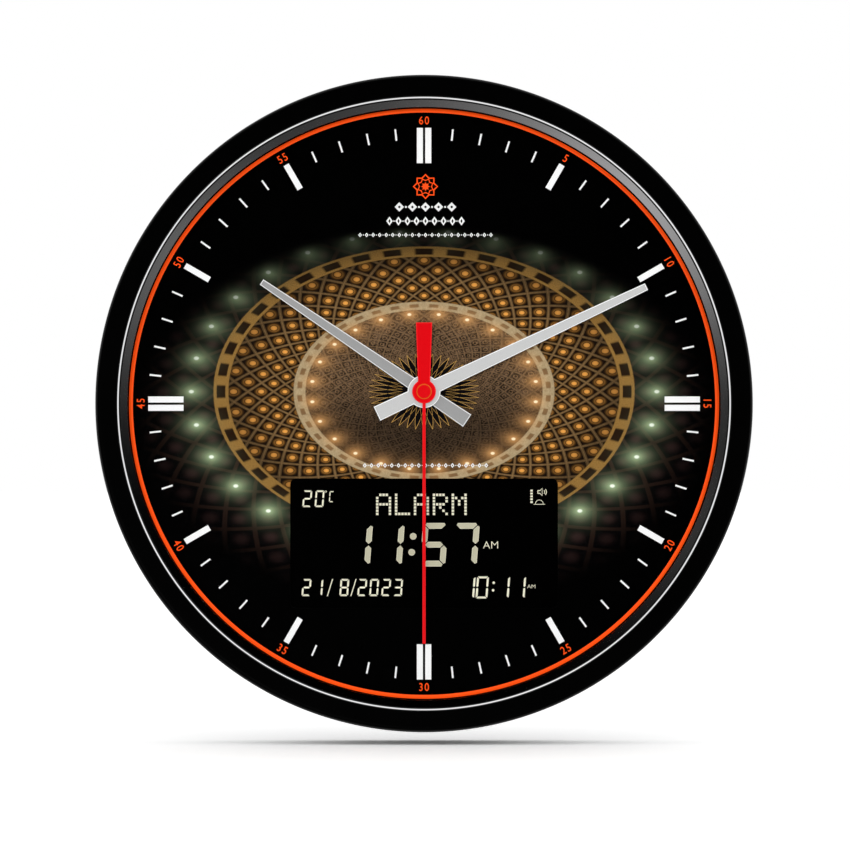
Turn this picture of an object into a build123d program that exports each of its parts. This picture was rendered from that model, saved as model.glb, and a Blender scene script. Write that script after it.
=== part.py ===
from build123d import *
import math
import os

# A round wall clock with hands, a liquid crystal display and a loudspeaker.
# Millimetres, +Z up. The origin is the centre of the case on the wall plane and the
# front faces -Y. A "height" is a distance in front of the wall, so it points along -Y.

# ---------------------------------------------------------------- case
CASE_RADIUS = 160.0
CASE_DEPTH = 42.0
FRAME_WALL = 3.2
RIM_INNER_RADIUS = 149.6
RIM_THICKNESS = 2.5
FIT_GAP = 0.3
SEAT_RADIUS = CASE_RADIUS - FRAME_WALL - FIT_GAP
BOSS_RADIUS = 3.3
BOSS_CIRCLE_RADIUS = 154.2
CASE_SCREW_COUNT = 6
FIRST_SCREW_ANGLE = 30.0
COVER_SCREW_RADIUS = 1.4
COVER_SCREW_BITE = 11.0

# ---------------------------------------------------------------- heights of the front stack
LENS_TOP = CASE_DEPTH - RIM_THICKNESS
LENS_THICKNESS = 2.0
LENS_BOTTOM = LENS_TOP - LENS_THICKNESS
DIAL_TOP = 27.0
DIAL_THICKNESS = 1.5
DIAL_BOTTOM = DIAL_TOP - DIAL_THICKNESS

# ---------------------------------------------------------------- back
PANEL_LOW = 2.0
PANEL_THICKNESS = 2.5
PANEL_HIGH = PANEL_LOW + PANEL_THICKNESS
COVER_RIM_OUTER = 149.5
COVER_RIM_WALL = 2.0

# ---------------------------------------------------------------- dial
TRIM_RADIUS = 149.5
TRIM_WIDTH = 1.2
BEZEL_OUTER_RADIUS = 148.1
BEZEL_SLOPE_OUTER = 147.8
BEZEL_INNER_RADIUS = 144.3
SPACER_INNER_RADIUS = 146.0
ACCENT_INNER_RADIUS = 142.2
ACCENT_OUTER_RADIUS = 144.3
MARK_OUTER_RADIUS = 134.9
QUARTER_INNER_RADIUS = 117.6
HOUR_INNER_RADIUS = 121.2
TICK_INNER_RADIUS = 129.25
BATON_WIDTH = 3.0
BATON_PAIR_GAP = 1.1
TICK_WIDTH = 0.9
BATON_HEIGHT = 0.6
TICK_HEIGHT = 0.25

# ---------------------------------------------------------------- hands
# They share one axis, a little above the dial's centre.
AXIS_UP = 5.9
HAND_THICKNESS = 0.5
HAND_BEVEL_DROP = 0.22
HAND_BEVEL_WIDTH = 0.45
HOUR_HAND_LOW = 30.2
MINUTE_HAND_LOW = 32.1
SECOND_HAND_LOW = 33.9
HOUR_HAND_ANGLE = 304.0
MINUTE_HAND_ANGLE = 64.75
SECOND_HAND_ANGLE = 180.0
HUB_RADIUS = 8.0

# ---------------------------------------------------------------- display
WINDOW_WIDTH = 131.0
WINDOW_TOP = -36.6
WINDOW_BOTTOM = -100.0
WINDOW_CORNER = 3.0
WINDOW_TALL = WINDOW_TOP - WINDOW_BOTTOM
WINDOW_CENTRE = (WINDOW_TOP + WINDOW_BOTTOM) / 2
LCD_MARGIN = 3.3
LCD_WIDTH = WINDOW_WIDTH + 2 * LCD_MARGIN
LCD_TALL = WINDOW_TALL + 2 * LCD_MARGIN
LCD_THICKNESS = 2.8
LCD_BOTTOM = DIAL_BOTTOM - LCD_THICKNESS
BACKLIGHT_THICKNESS = 2.5
BACKLIGHT_BOTTOM = LCD_BOTTOM - BACKLIGHT_THICKNESS
LCD_FRAME_WALL = 3.0
LCD_FRAME_GAP = 0.2
BOARD_TOP = 17.6
BOARD_THICKNESS = 1.6
BOARD_BOTTOM = BOARD_TOP - BOARD_THICKNESS
BOARD_WIDTH = 153.0
BOARD_TALL = 86.0
BOARD_CENTRE = -75.0
BOARD_SCREW_X = 73.2
BOARD_SCREW_Z = 27.0
BOARD_SCREW_RADIUS = 1.0
BOARD_SCREW_BITE = 5.0
ZEBRA_WIDTH = 118.0
ZEBRA_THICKNESS = 2.4
SENSOR_SPOT = (66.0, -106.0)

# ---------------------------------------------------------------- push buttons
BUTTON_SPOTS = {
    "mode_button": -44.0,
    "set_button": -22.0,
    "up_button": 0.0,
    "down_button": 22.0,
    "sound_button": 44.0,
}
BUTTON_Z = -84.0
BUTTON_RADIUS = 4.0
BUTTON_TRAVEL = 0.8
SWITCH_TALL = 3.5
SWITCH_BOTTOM = BOARD_BOTTOM - SWITCH_TALL

# ---------------------------------------------------------------- battery box
CELL_RADIUS = 7.1
CELL_LENGTH = 49.2
NUB_LENGTH = 1.2
NUB_RADIUS = 2.6
CELL_PITCH = 15.3
CELL_COUNT = 3
BAY_X = -78.25
BAY_Z = 6.0
BAY_WIDTH = 46.5
BAY_TALL = 57.0
BAY_TOP = 19.5
BAY_WALL = 1.5
MAIN_CELL_HEIGHT = BAY_TOP - CELL_RADIUS - 0.2
CONTACT_THICKNESS = 0.5
DOOR_GAP = 0.3
HINGE_GAP = 0.65
HINGE_RADIUS = PANEL_THICKNESS / 2
HINGE_HEIGHT = PANEL_LOW + HINGE_RADIUS
HINGE_X = BAY_X - BAY_WIDTH / 2 - 2.0
PIN_RADIUS = 0.7
PIN_LENGTH = 2.2
RUNNING_GAP = 0.05

# ---------------------------------------------------------------- loudspeaker
SPEAKER_X = 84.0
SPEAKER_Z = 8.0
SPEAKER_RADIUS = 28.5
SPEAKER_SEAT = PANEL_HIGH
SPEAKER_BACK = SPEAKER_SEAT + 10.5

# ---------------------------------------------------------------- hanger
HANGER_Z = 122.0
HANGER_WIDTH = 30.0
HANGER_TALL = 42.0
HANGER_THICKNESS = 1.2
KEYHOLE_RADIUS = 5.0
KEYSLOT_RADIUS = 2.4
KEYHOLE_DROP = 7.0
KEYSLOT_RISE = 8.0
POCKET_WIDTH = 16.0
POCKET_TALL = 30.0
POCKET_TOP = 14.0
HANGER_SCREW_X = 11.5
HANGER_SCREW_Z = 17.0
HANGER_SCREW_RADIUS = 1.1
HANGER_SCREW_HEAD_RADIUS = 2.2
HANGER_SCREW_BITE = 4.0

# ---------------------------------------------------------------- quartz movement
MOVEMENT_FRONT = 24.8
MOVEMENT_BACK = 9.3
MOVEMENT_SPLIT = 17.0
MOVEMENT_HALF_WIDTH = 28.0
MOVEMENT_BELOW = 19.5
MOVEMENT_ABOVE = 36.5
MOVEMENT_WALL = 1.2
TRAIN_HALF_TALL = MOVEMENT_BELOW - MOVEMENT_WALL
MOVEMENT_CELL_UP = 27.8
WELL_GAP = 1.0
BUSHING_RADIUS = 4.0
BUSHING_TOP = 29.6
NUT_ACROSS_FLATS = 11.0
NUT_HEIGHT = 2.0
MOVEMENT_CELL_SHIFT = 0.6
SECONDS_RADIUS = 0.5
MINUTE_TUBE_RADIUS = 1.75
HOUR_TUBE_RADIUS = 2.5
PIVOT_RADIUS = 0.4
SETTING_SHAFT_RADIUS = 1.2
ARBOR_STAND = 0.3
BACK_PIVOT_LOW = 10.0
MIDDLE_PIVOT_LOW = 16.3
MIDDLE_PIVOT_HIGH = 16.7
FRONT_PIVOT_HIGH = 24.2
TRAIN_PLATE_LOW = 16.1
TRAIN_PLATE_HIGH = 17.0
STATOR_LOW = 14.6
STATOR_HIGH = 15.6
STATOR_MIDDLE = (STATOR_LOW + STATOR_HIGH) / 2
COIL_ACROSS = 21.8
COIL_HALF_LENGTH = 8.5
COIL_FLANGE = 0.9
CORE_WIDTH = 2.0
BOBBIN_WIDTH = 3.0
BOBBIN_THICKNESS = 2.6

# ---------------------------------------------------------------- gear train
PRESSURE_ANGLE = math.radians(25)
ADDENDUM = 0.75
DEDENDUM = 1.05
TOOTH_THINNING = 0.06
ROTOR_TEETH, INTERMEDIATE_TEETH, ROTOR_MODULE = 8, 48, 0.25
INTERMEDIATE_PINION_TEETH, SECONDS_TEETH, SECONDS_MODULE = 8, 40, 0.3
SECONDS_PINION_TEETH, THIRD_TEETH, THIRD_MODULE = 8, 60, 0.25
THIRD_PINION_TEETH, CENTRE_TEETH = 8, 64
CANNON_TEETH, MINUTE_TEETH, MINUTE_MODULE = 12, 36, 0.38
MINUTE_PINION_TEETH, HOUR_TEETH = 10, 40
SETTING_TEETH = CANNON_TEETH
ROTOR_PINION_SPAN = (11.2, 12.4)
INTERMEDIATE_SPAN = (11.4, 12.2)
INTERMEDIATE_PINION_SPAN = (12.2, 14.0)
SECONDS_SPAN = (12.8, 13.6)
SECONDS_PINION_SPAN = (14.6, 16.0)
THIRD_SPAN = (14.8, 15.8)
THIRD_PINION_SPAN = (17.3, 18.9)
CENTRE_SPAN = (17.5, 18.4)
CANNON_SPAN = (19.3, 21.4)
MINUTE_SPAN = (19.9, 20.9)
MINUTE_PINION_SPAN = (20.9, 23.1)
HOUR_SPAN = (22.2, 23.2)
SETTING_SPAN = (19.7, 21.2)
THIRD_DISTANCE = (SECONDS_PINION_TEETH + THIRD_TEETH) * THIRD_MODULE / 2
CENTRE_MODULE = 2 * THIRD_DISTANCE / (THIRD_PINION_TEETH + CENTRE_TEETH)
MINUTE_DISTANCE = (CANNON_TEETH + MINUTE_TEETH) * MINUTE_MODULE / 2
HOUR_MODULE = 2 * MINUTE_DISTANCE / (MINUTE_PINION_TEETH + HOUR_TEETH)
INTERMEDIATE_DISTANCE = (INTERMEDIATE_PINION_TEETH + SECONDS_TEETH) * SECONDS_MODULE / 2
ROTOR_DISTANCE = (ROTOR_TEETH + INTERMEDIATE_TEETH) * ROTOR_MODULE / 2
THIRD_DIRECTION = math.radians(215)
MINUTE_DIRECTION = math.radians(90)
SETTING_DIRECTION = math.radians(20)
INTERMEDIATE_DIRECTION = math.radians(20)
ROTOR_DIRECTION = math.radians(-10)


def polar(centre, distance, angle):
    """The point at a distance and an angle from a centre, seen from the front."""
    return (centre[0] + distance * math.cos(angle), centre[1] + distance * math.sin(angle))


AXIS = (0.0, AXIS_UP)
THIRD_AXIS = polar(AXIS, THIRD_DISTANCE, THIRD_DIRECTION)
MINUTE_AXIS = polar(AXIS, MINUTE_DISTANCE, MINUTE_DIRECTION)
SETTING_AXIS = polar(MINUTE_AXIS, MINUTE_DISTANCE, SETTING_DIRECTION)
INTERMEDIATE_AXIS = polar(AXIS, INTERMEDIATE_DISTANCE, INTERMEDIATE_DIRECTION)
ROTOR_AXIS = polar(INTERMEDIATE_AXIS, ROTOR_DISTANCE, ROTOR_DIRECTION)


# ---------------------------------------------------------------- basic solids
def slab(outline, low, high):
    """A plate: an outline seen from the front, between two heights."""
    return extrude(Plane.XZ.offset(low) * outline, amount=high - low)


def disc(radius, low, high, centre=(0, 0)):
    return slab(Pos(*centre) * Circle(radius), low, high)


def tube(outer, inner, low, high, centre=(0, 0)):
    return slab(Pos(*centre) * (Circle(outer) - Circle(inner)), low, high)


def block(width, tall, low, high, centre=(0, 0), corner=0.0):
    outline = RectangleRounded(width, tall, corner) if corner else Rectangle(width, tall)
    return slab(Pos(*centre) * outline, low, high)


def turned(profile, centre=(0, 0)):
    """A solid of revolution from points of (radius, height) about an axis square to the wall."""
    outline = make_face(Polyline([(radius, -height) for radius, height in profile], close=True))
    return Pos(centre[0], 0, centre[1]) * revolve(outline, Axis.Y)


def around(count, first=0.0):
    """The angles of evenly spaced places, clockwise from the top."""
    return [first + 360.0 * place / count for place in range(count)]


def on_circle(radius, angle):
    """The point at a radius and a clock angle, clockwise from the top."""
    turn = math.radians(angle)
    return (radius * math.sin(turn), radius * math.cos(turn))


def group(solids):
    """Separate solids that share one node."""
    return Compound(children=list(solids))


# ---------------------------------------------------------------- toothed wheels
def half_tooth_angle(radius, teeth, module):
    """Half the angle of an involute tooth at a radius; below the base circle it stays as it is there."""
    pitch_radius = teeth * module / 2
    base_radius = pitch_radius * math.cos(PRESSURE_ANGLE)
    rolled = math.acos(min(1.0, base_radius / max(radius, base_radius)))
    at_pitch = (math.pi * module / 2 - TOOTH_THINNING) / (2 * pitch_radius)
    return at_pitch + (math.tan(PRESSURE_ANGLE) - PRESSURE_ANGLE) - (math.tan(rolled) - rolled)


def toothed(teeth, module, phase):
    """The outline of a gear with a tooth's middle at the angle phase."""
    pitch_radius = teeth * module / 2
    base_radius = pitch_radius * math.cos(PRESSURE_ANGLE)
    root_radius = pitch_radius - DEDENDUM * module
    tip_radius = pitch_radius + ADDENDUM * module
    foot_radius = max(base_radius, root_radius)
    radii = [root_radius, foot_radius] if foot_radius > root_radius else [root_radius]
    radii += [pitch_radius, tip_radius]
    points = []
    for tooth in range(teeth):
        middle = phase + 2 * math.pi * tooth / teeth
        for radius in radii:
            points.append(polar((0, 0), radius, middle - half_tooth_angle(radius, teeth, module)))
        for radius in reversed(radii):
            points.append(polar((0, 0), radius, middle + half_tooth_angle(radius, teeth, module)))
    return make_face(Polyline(points, close=True))


def gear(teeth, module, phase, bore, span, centre):
    """A wheel or pinion between the two heights of its span."""
    return slab(Pos(*centre) * (toothed(teeth, module, phase) - Circle(bore)), *span)


def meshed_phase(direction, first_phase, first_teeth, second_teeth):
    """The phase of a second gear that puts its gap where the first one's tooth points."""
    along = ((direction - first_phase) / (2 * math.pi / first_teeth)) % 1
    return direction + math.pi - (0.5 - along) * (2 * math.pi / second_teeth)


CANNON_PHASE = 0.0
SECONDS_PHASE = 0.0
SECONDS_PINION_PHASE = 0.0
MINUTE_PHASE = meshed_phase(MINUTE_DIRECTION, CANNON_PHASE, CANNON_TEETH, MINUTE_TEETH)
SETTING_PHASE = meshed_phase(SETTING_DIRECTION, MINUTE_PHASE, MINUTE_TEETH, SETTING_TEETH)
MINUTE_PINION_PHASE = 0.0
HOUR_PHASE = meshed_phase(MINUTE_DIRECTION + math.pi, MINUTE_PINION_PHASE, MINUTE_PINION_TEETH,
                          HOUR_TEETH)
INTERMEDIATE_PINION_PHASE = meshed_phase(INTERMEDIATE_DIRECTION, SECONDS_PHASE, SECONDS_TEETH,
                                         INTERMEDIATE_PINION_TEETH)
INTERMEDIATE_PHASE = 0.0
ROTOR_PHASE = meshed_phase(ROTOR_DIRECTION, INTERMEDIATE_PHASE, INTERMEDIATE_TEETH, ROTOR_TEETH)
THIRD_PHASE = meshed_phase(THIRD_DIRECTION, SECONDS_PINION_PHASE, SECONDS_PINION_TEETH, THIRD_TEETH)
THIRD_PINION_PHASE = 0.0
CENTRE_PHASE = meshed_phase(THIRD_DIRECTION + math.pi, THIRD_PINION_PHASE, THIRD_PINION_TEETH,
                            CENTRE_TEETH)


# ---------------------------------------------------------------- case and front
def front_frame():
    """The black case ring: side wall, flat front rim and the bosses for the back's screws."""
    wall_inner = CASE_RADIUS - FRAME_WALL
    outer_round = 3.0
    inner_round = 0.6
    boss_drop = 1.5
    section = FilletPolyline(
        [(wall_inner, 0), (CASE_RADIUS, 0), (CASE_RADIUS, -CASE_DEPTH), (RIM_INNER_RADIUS, -CASE_DEPTH),
         (RIM_INNER_RADIUS, -LENS_TOP), (wall_inner, -LENS_TOP)],
        radius=[inner_round / 2, inner_round, outer_round, inner_round, inner_round / 2, inner_round / 2],
        close=True,
    )
    ring = revolve(make_face(section), Axis.Y)
    boss_top = DIAL_BOTTOM - boss_drop
    for angle in around(CASE_SCREW_COUNT, FIRST_SCREW_ANGLE):
        spot = on_circle(BOSS_CIRCLE_RADIUS, angle)
        ring += disc(BOSS_RADIUS, PANEL_HIGH, boss_top, spot)
        ring -= disc(COVER_SCREW_RADIUS, PANEL_HIGH, PANEL_HIGH + COVER_SCREW_BITE + 1, spot)
    return ring


def bezel_trim():
    """A thin polished ring that lies on the lens against the rim."""
    trim_height = 1.9
    flat_width = 0.3
    inner_height = 1.15
    return turned([
        (TRIM_RADIUS - TRIM_WIDTH, LENS_TOP),
        (TRIM_RADIUS, LENS_TOP),
        (TRIM_RADIUS, LENS_TOP + trim_height),
        (TRIM_RADIUS - flat_width, LENS_TOP + trim_height),
        (TRIM_RADIUS - TRIM_WIDTH, LENS_TOP + inner_height),
    ])


def lens():
    return disc(SEAT_RADIUS, LENS_BOTTOM, LENS_TOP)


def inner_bezel():
    """The sloped ring on the lens, inside the polished one; its slope falls towards the dial."""
    slope_drop = 0.8
    toe = 0.25
    return turned([
        (BEZEL_INNER_RADIUS, LENS_TOP),
        (BEZEL_OUTER_RADIUS, LENS_TOP),
        (BEZEL_OUTER_RADIUS, LENS_TOP + toe + slope_drop),
        (BEZEL_SLOPE_OUTER, LENS_TOP + toe + slope_drop),
        (BEZEL_INNER_RADIUS, LENS_TOP + toe),
    ])


def spacer_ring():
    """The upright ring that holds the lens off the dial; its top flange reaches the case wall."""
    wall = 1.8
    flange = 1.5
    draft = 0.4
    return turned([
        (SPACER_INNER_RADIUS, LENS_BOTTOM),
        (SEAT_RADIUS, LENS_BOTTOM),
        (SEAT_RADIUS, LENS_BOTTOM - flange),
        (SPACER_INNER_RADIUS + wall, LENS_BOTTOM - flange),
        (SPACER_INNER_RADIUS + wall, DIAL_TOP),
        (SPACER_INNER_RADIUS - draft, DIAL_TOP),
    ])


def accent_ring():
    """A coloured ring on the dial, with a low ridge along its middle."""
    middle = (ACCENT_INNER_RADIUS + ACCENT_OUTER_RADIUS) / 2
    edge_height = 0.25
    ridge_height = 0.5
    return turned([
        (ACCENT_INNER_RADIUS, DIAL_TOP),
        (ACCENT_OUTER_RADIUS, DIAL_TOP),
        (ACCENT_OUTER_RADIUS, DIAL_TOP + edge_height),
        (middle, DIAL_TOP + ridge_height),
        (ACCENT_INNER_RADIUS, DIAL_TOP + edge_height),
    ])


def dial_plate():
    """The dial: a disc with the movement's hole and the display's window, round at the top corners."""
    outline = Circle(SEAT_RADIUS) - Pos(*AXIS) * Circle(BUSHING_RADIUS + RUNNING_GAP)
    outline -= Pos(0, WINDOW_CENTRE) * RectangleRounded(WINDOW_WIDTH, WINDOW_TALL, WINDOW_CORNER)
    return slab(outline, DIAL_BOTTOM, DIAL_TOP)


def dial_mark(width, inner_radius, height, angle, sideways=0.0):
    """A bar along a radius of the dial, at a clock angle."""
    length = MARK_OUTER_RADIUS - inner_radius
    outline = Rot(0, 0, -angle) * Pos(sideways, inner_radius + length / 2) * Rectangle(width, length)
    return slab(outline, DIAL_TOP, DIAL_TOP + height)


def hour_batons():
    """One bar at each hour and a pair of longer bars at each quarter."""
    shift = (BATON_WIDTH + BATON_PAIR_GAP) / 2
    bars = []
    for angle in around(12):
        if angle % 90 == 0:
            for sideways in (-shift, shift):
                bars.append(dial_mark(BATON_WIDTH, QUARTER_INNER_RADIUS, BATON_HEIGHT, angle, sideways))
        else:
            bars.append(dial_mark(BATON_WIDTH, HOUR_INNER_RADIUS, BATON_HEIGHT, angle))
    return group(bars)


def minute_ticks():
    between = [angle for angle in around(60) if angle % 30 != 0]
    return group(dial_mark(TICK_WIDTH, TICK_INNER_RADIUS, TICK_HEIGHT, angle) for angle in between)


# ---------------------------------------------------------------- hands
def hand(blade, hub_radius, bore, low, angle, collar_radius, collar_low):
    """A flat hand: a blade drawn pointing up, its hub, and a collar below that grips its arbor."""
    plate = make_face(Polyline(blade, close=True)) + Circle(hub_radius)
    placed = Pos(*AXIS) * Rot(0, 0, -angle) * (plate - Circle(bore))
    body = slab(placed, low, low + HAND_THICKNESS)
    front = body.faces().sort_by(Axis.Y)[0]
    body = chamfer(front.outer_wire().edges(), HAND_BEVEL_WIDTH, HAND_BEVEL_DROP, reference=front)
    return body + tube(collar_radius, bore, collar_low, low, AXIS)


def baton_blade(tail_length, tail_width, hub_width, tip_length, tip_width):
    """A bar that narrows from the hub to a square tip and widens a little to a square tail."""
    right_side = [(tail_width / 2, -tail_length), (hub_width / 2, 0), (tip_width / 2, tip_length)]
    left_side = [(-x, along) for x, along in reversed(right_side)]
    return right_side + left_side


def hour_hand():
    blade = baton_blade(tail_length=25.4, tail_width=7.2, hub_width=6.2, tip_length=95.7, tip_width=3.1)
    collar_radius = 3.6
    collar_low = BUSHING_TOP + 0.2
    return hand(blade, HUB_RADIUS, HOUR_TUBE_RADIUS, HOUR_HAND_LOW, HOUR_HAND_ANGLE, collar_radius,
                collar_low)


def minute_hand():
    blade = baton_blade(tail_length=25.4, tail_width=7.5, hub_width=6.9, tip_length=120.0, tip_width=3.6)
    collar_radius = 2.7
    collar_low = HOUR_HAND_LOW + HAND_THICKNESS + 0.6
    return hand(blade, HUB_RADIUS, MINUTE_TUBE_RADIUS, MINUTE_HAND_LOW, MINUTE_HAND_ANGLE, collar_radius,
                collar_low)


def second_hand():
    """A needle with a wide tail and a round hub that carries a low boss."""
    needle_width = 1.5
    needle_length = 123.0
    tail_length = 33.7
    tail_width = 7.9
    neck_width = 5.6
    hub_radius = 5.76
    boss_radius = 3.5
    boss_height = 0.3
    collar_radius = 1.3
    collar_low = MINUTE_HAND_LOW + HAND_THICKNESS + 0.7
    blade = [(tail_width / 2, -tail_length), (neck_width / 2, 0), (needle_width / 2, 0),
             (needle_width / 2, needle_length), (-needle_width / 2, needle_length),
             (-needle_width / 2, 0), (-neck_width / 2, 0), (-tail_width / 2, -tail_length)]
    body = hand(blade, hub_radius, SECONDS_RADIUS, SECOND_HAND_LOW, SECOND_HAND_ANGLE, collar_radius,
                collar_low)
    top = SECOND_HAND_LOW + HAND_THICKNESS
    return body + tube(boss_radius, SECONDS_RADIUS, top, top + boss_height, AXIS)


# ---------------------------------------------------------------- display and main board
def lcd_glass():
    return block(LCD_WIDTH, LCD_TALL, LCD_BOTTOM, DIAL_BOTTOM, (0, WINDOW_CENTRE))


def lcd_backlight():
    """The light guide behind the glass; it leaves the glass's bottom ledge free for the contacts."""
    side_margin = 2.0
    top_margin = 2.0
    ledge = 6.0
    width = LCD_WIDTH - 2 * side_margin
    tall = LCD_TALL - top_margin - ledge
    centre = (0, WINDOW_CENTRE + (ledge - top_margin) / 2)
    return block(width, tall, BACKLIGHT_BOTTOM, LCD_BOTTOM, centre, 1.0)


def zebra_centre():
    return (0, WINDOW_CENTRE - LCD_TALL / 2 + ZEBRA_THICKNESS)


def lcd_frame():
    """The holder glued behind the dial: pocket for glass and light guide, ears for the board's screws."""
    centre = (0, WINDOW_CENTRE)
    outer_width = LCD_WIDTH + 2 * LCD_FRAME_WALL
    outer_tall = LCD_TALL + 2 * LCD_FRAME_WALL
    window_width = LCD_WIDTH - 14.0
    window_tall = LCD_TALL - 18.0
    window_rise = 2.0
    corner = 2.0
    ear_radius = 3.2
    ear_drop = 1.0
    body = block(outer_width, outer_tall, BOARD_TOP, DIAL_BOTTOM, centre, corner)
    pocket_width = LCD_WIDTH + 2 * LCD_FRAME_GAP
    pocket_tall = LCD_TALL + 2 * LCD_FRAME_GAP
    body -= block(pocket_width, pocket_tall, BACKLIGHT_BOTTOM, DIAL_BOTTOM, centre)
    window_centre = (0, WINDOW_CENTRE + window_rise)
    body -= block(window_width, window_tall, BOARD_TOP, BACKLIGHT_BOTTOM, window_centre, corner)
    slot_width = ZEBRA_WIDTH + 2 * LCD_FRAME_GAP
    slot_tall = ZEBRA_THICKNESS + 2 * LCD_FRAME_GAP
    body -= block(slot_width, slot_tall, BOARD_TOP, BACKLIGHT_BOTTOM, zebra_centre())
    for spot in board_screw_spots():
        ear = disc(ear_radius, BOARD_TOP, DIAL_BOTTOM - ear_drop, spot)
        body += ear - block(LCD_WIDTH + LCD_FRAME_WALL, LCD_TALL, BOARD_TOP, DIAL_BOTTOM, centre)
        body -= disc(BOARD_SCREW_RADIUS, BOARD_TOP, BOARD_TOP + BOARD_SCREW_BITE, spot)
    return body


def zebra_strip():
    """The elastic connector between the glass's ledge and the board."""
    return block(ZEBRA_WIDTH, ZEBRA_THICKNESS, BOARD_TOP, LCD_BOTTOM, zebra_centre())


def board_screw_spots():
    across = (-BOARD_SCREW_X, BOARD_SCREW_X)
    upright = (WINDOW_CENTRE - BOARD_SCREW_Z, WINDOW_CENTRE + BOARD_SCREW_Z)
    return [(x, z) for x in across for z in upright]


def main_board():
    corner = 2.0
    board = block(BOARD_WIDTH, BOARD_TALL, BOARD_BOTTOM, BOARD_TOP, (0, BOARD_CENTRE), corner)
    for spot in board_screw_spots():
        board -= disc(BOARD_SCREW_RADIUS, BOARD_BOTTOM, BOARD_TOP, spot)
    return board


def board_screws():
    """Pan head screws through the board into the display's holder."""
    head_radius = 1.9
    head_height = 1.3
    return group(
        disc(head_radius, BOARD_BOTTOM - head_height, BOARD_BOTTOM, spot)
        + disc(BOARD_SCREW_RADIUS, BOARD_BOTTOM, BOARD_TOP + BOARD_SCREW_BITE, spot)
        for spot in board_screw_spots()
    )


def board_chips():
    """Controller, sound chip, memory, capacitors and a crystal can on the back of the board."""
    chip_height = 1.6
    corner = 0.4
    controller = block(14.0, 14.0, BOARD_BOTTOM - chip_height, BOARD_BOTTOM, (-30.0, -56.0), corner)
    sound_chip = block(10.0, 6.0, BOARD_BOTTOM - chip_height, BOARD_BOTTOM, (8.0, -52.0), corner)
    memory = block(8.0, 5.0, BOARD_BOTTOM - chip_height, BOARD_BOTTOM, (8.0, -64.0), corner)
    regulator = block(5.0, 9.0, BOARD_BOTTOM - 2.2, BOARD_BOTTOM, (34.0, -50.0), corner)
    crystal = block(4.5, 11.0, BOARD_BOTTOM - 3.2, BOARD_BOTTOM, (-52.0, -52.0), corner)
    can_radius = 3.0
    can_height = 7.0
    can_spots = [(50.0, -52.0), (58.0, -52.0), (58.0, -62.0)]
    cans = [disc(can_radius, BOARD_BOTTOM - can_height, BOARD_BOTTOM, spot) for spot in can_spots]
    return group([controller, sound_chip, memory, regulator, crystal] + cans)


def tact_switches():
    """The five switches under the buttons, each with a well for the button's stem."""
    side = 6.2
    corner = 0.5
    well_radius = 2.0
    well_depth = 2.4
    solids = []
    for x in BUTTON_SPOTS.values():
        body = block(side, side, SWITCH_BOTTOM, BOARD_BOTTOM, (x, BUTTON_Z), corner)
        solids.append(body - disc(well_radius, SWITCH_BOTTOM, SWITCH_BOTTOM + well_depth, (x, BUTTON_Z)))
    return group(solids)


def temperature_sensor():
    """A bead thermistor on two stiff leads, close behind the back's vents."""
    bead_height = 8.0
    bead_radius = 1.4
    lead_gap = 1.2
    lead_radius = 0.25
    x, z = SENSOR_SPOT
    bead = Pos(x, -bead_height, z) * Sphere(bead_radius)
    for side in (-lead_gap / 2, lead_gap / 2):
        bead += disc(lead_radius, bead_height, BOARD_BOTTOM, (x + side, z))
    return bead


# ---------------------------------------------------------------- push buttons
def push_button(x):
    """A round cap in the back, its flange behind the panel and a stem into the switch."""
    centre = (x, BUTTON_Z)
    cap_low = 0.9
    flange_radius = BUTTON_RADIUS + 1.2
    flange_low = PANEL_HIGH
    flange_thickness = 1.0
    stem_radius = 1.6
    stem_reach = 1.2
    cap_round = 0.4
    dish_radius = 9.0
    dish_depth = 0.3
    body = disc(BUTTON_RADIUS, cap_low, flange_low, centre)
    body = fillet(body.faces().sort_by(Axis.Y)[-1].edges(), cap_round)
    body += disc(flange_radius, flange_low, flange_low + flange_thickness, centre)
    body += disc(stem_radius, flange_low + flange_thickness, SWITCH_BOTTOM + stem_reach, centre)
    dish = Pos(x, dish_radius - cap_low - dish_depth, BUTTON_Z) * Sphere(dish_radius)
    return body - dish


# ---------------------------------------------------------------- back
def door_outline_x():
    """The battery door runs from its hinge line to the far side of the bay."""
    return HINGE_X, BAY_X + BAY_WIDTH / 2 + 1.0


def well_centre():
    return (0, AXIS_UP + (MOVEMENT_ABOVE - MOVEMENT_BELOW) / 2)


def well_size():
    width = 2 * (MOVEMENT_HALF_WIDTH + WELL_GAP)
    tall = MOVEMENT_ABOVE + MOVEMENT_BELOW + 2 * WELL_GAP
    return width, tall


def back_cover():
    """The moulded back: panel, clamping rim, movement well, battery box, speaker seat and hanger pocket."""
    cover = disc(SEAT_RADIUS, PANEL_LOW, PANEL_HIGH)
    cover += tube(COVER_RIM_OUTER, COVER_RIM_OUTER - COVER_RIM_WALL, PANEL_HIGH, DIAL_BOTTOM)
    cover = cover_with_well(cover)
    cover = cover_with_battery_box(cover)
    cover = cover_with_speaker_seat(cover)
    cover = cover_with_hanger_pocket(cover)
    return cover_with_holes(cover)


def cover_with_well(cover):
    """The window that leaves the movement's back, its cell and its knob within reach."""
    width, tall = well_size()
    wall = 1.5
    wall_top = 20.0
    cover += block(width + 2 * wall, tall + 2 * wall, PANEL_HIGH, wall_top, well_centre())
    return cover - block(width, tall, PANEL_LOW, wall_top, well_centre())


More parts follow.
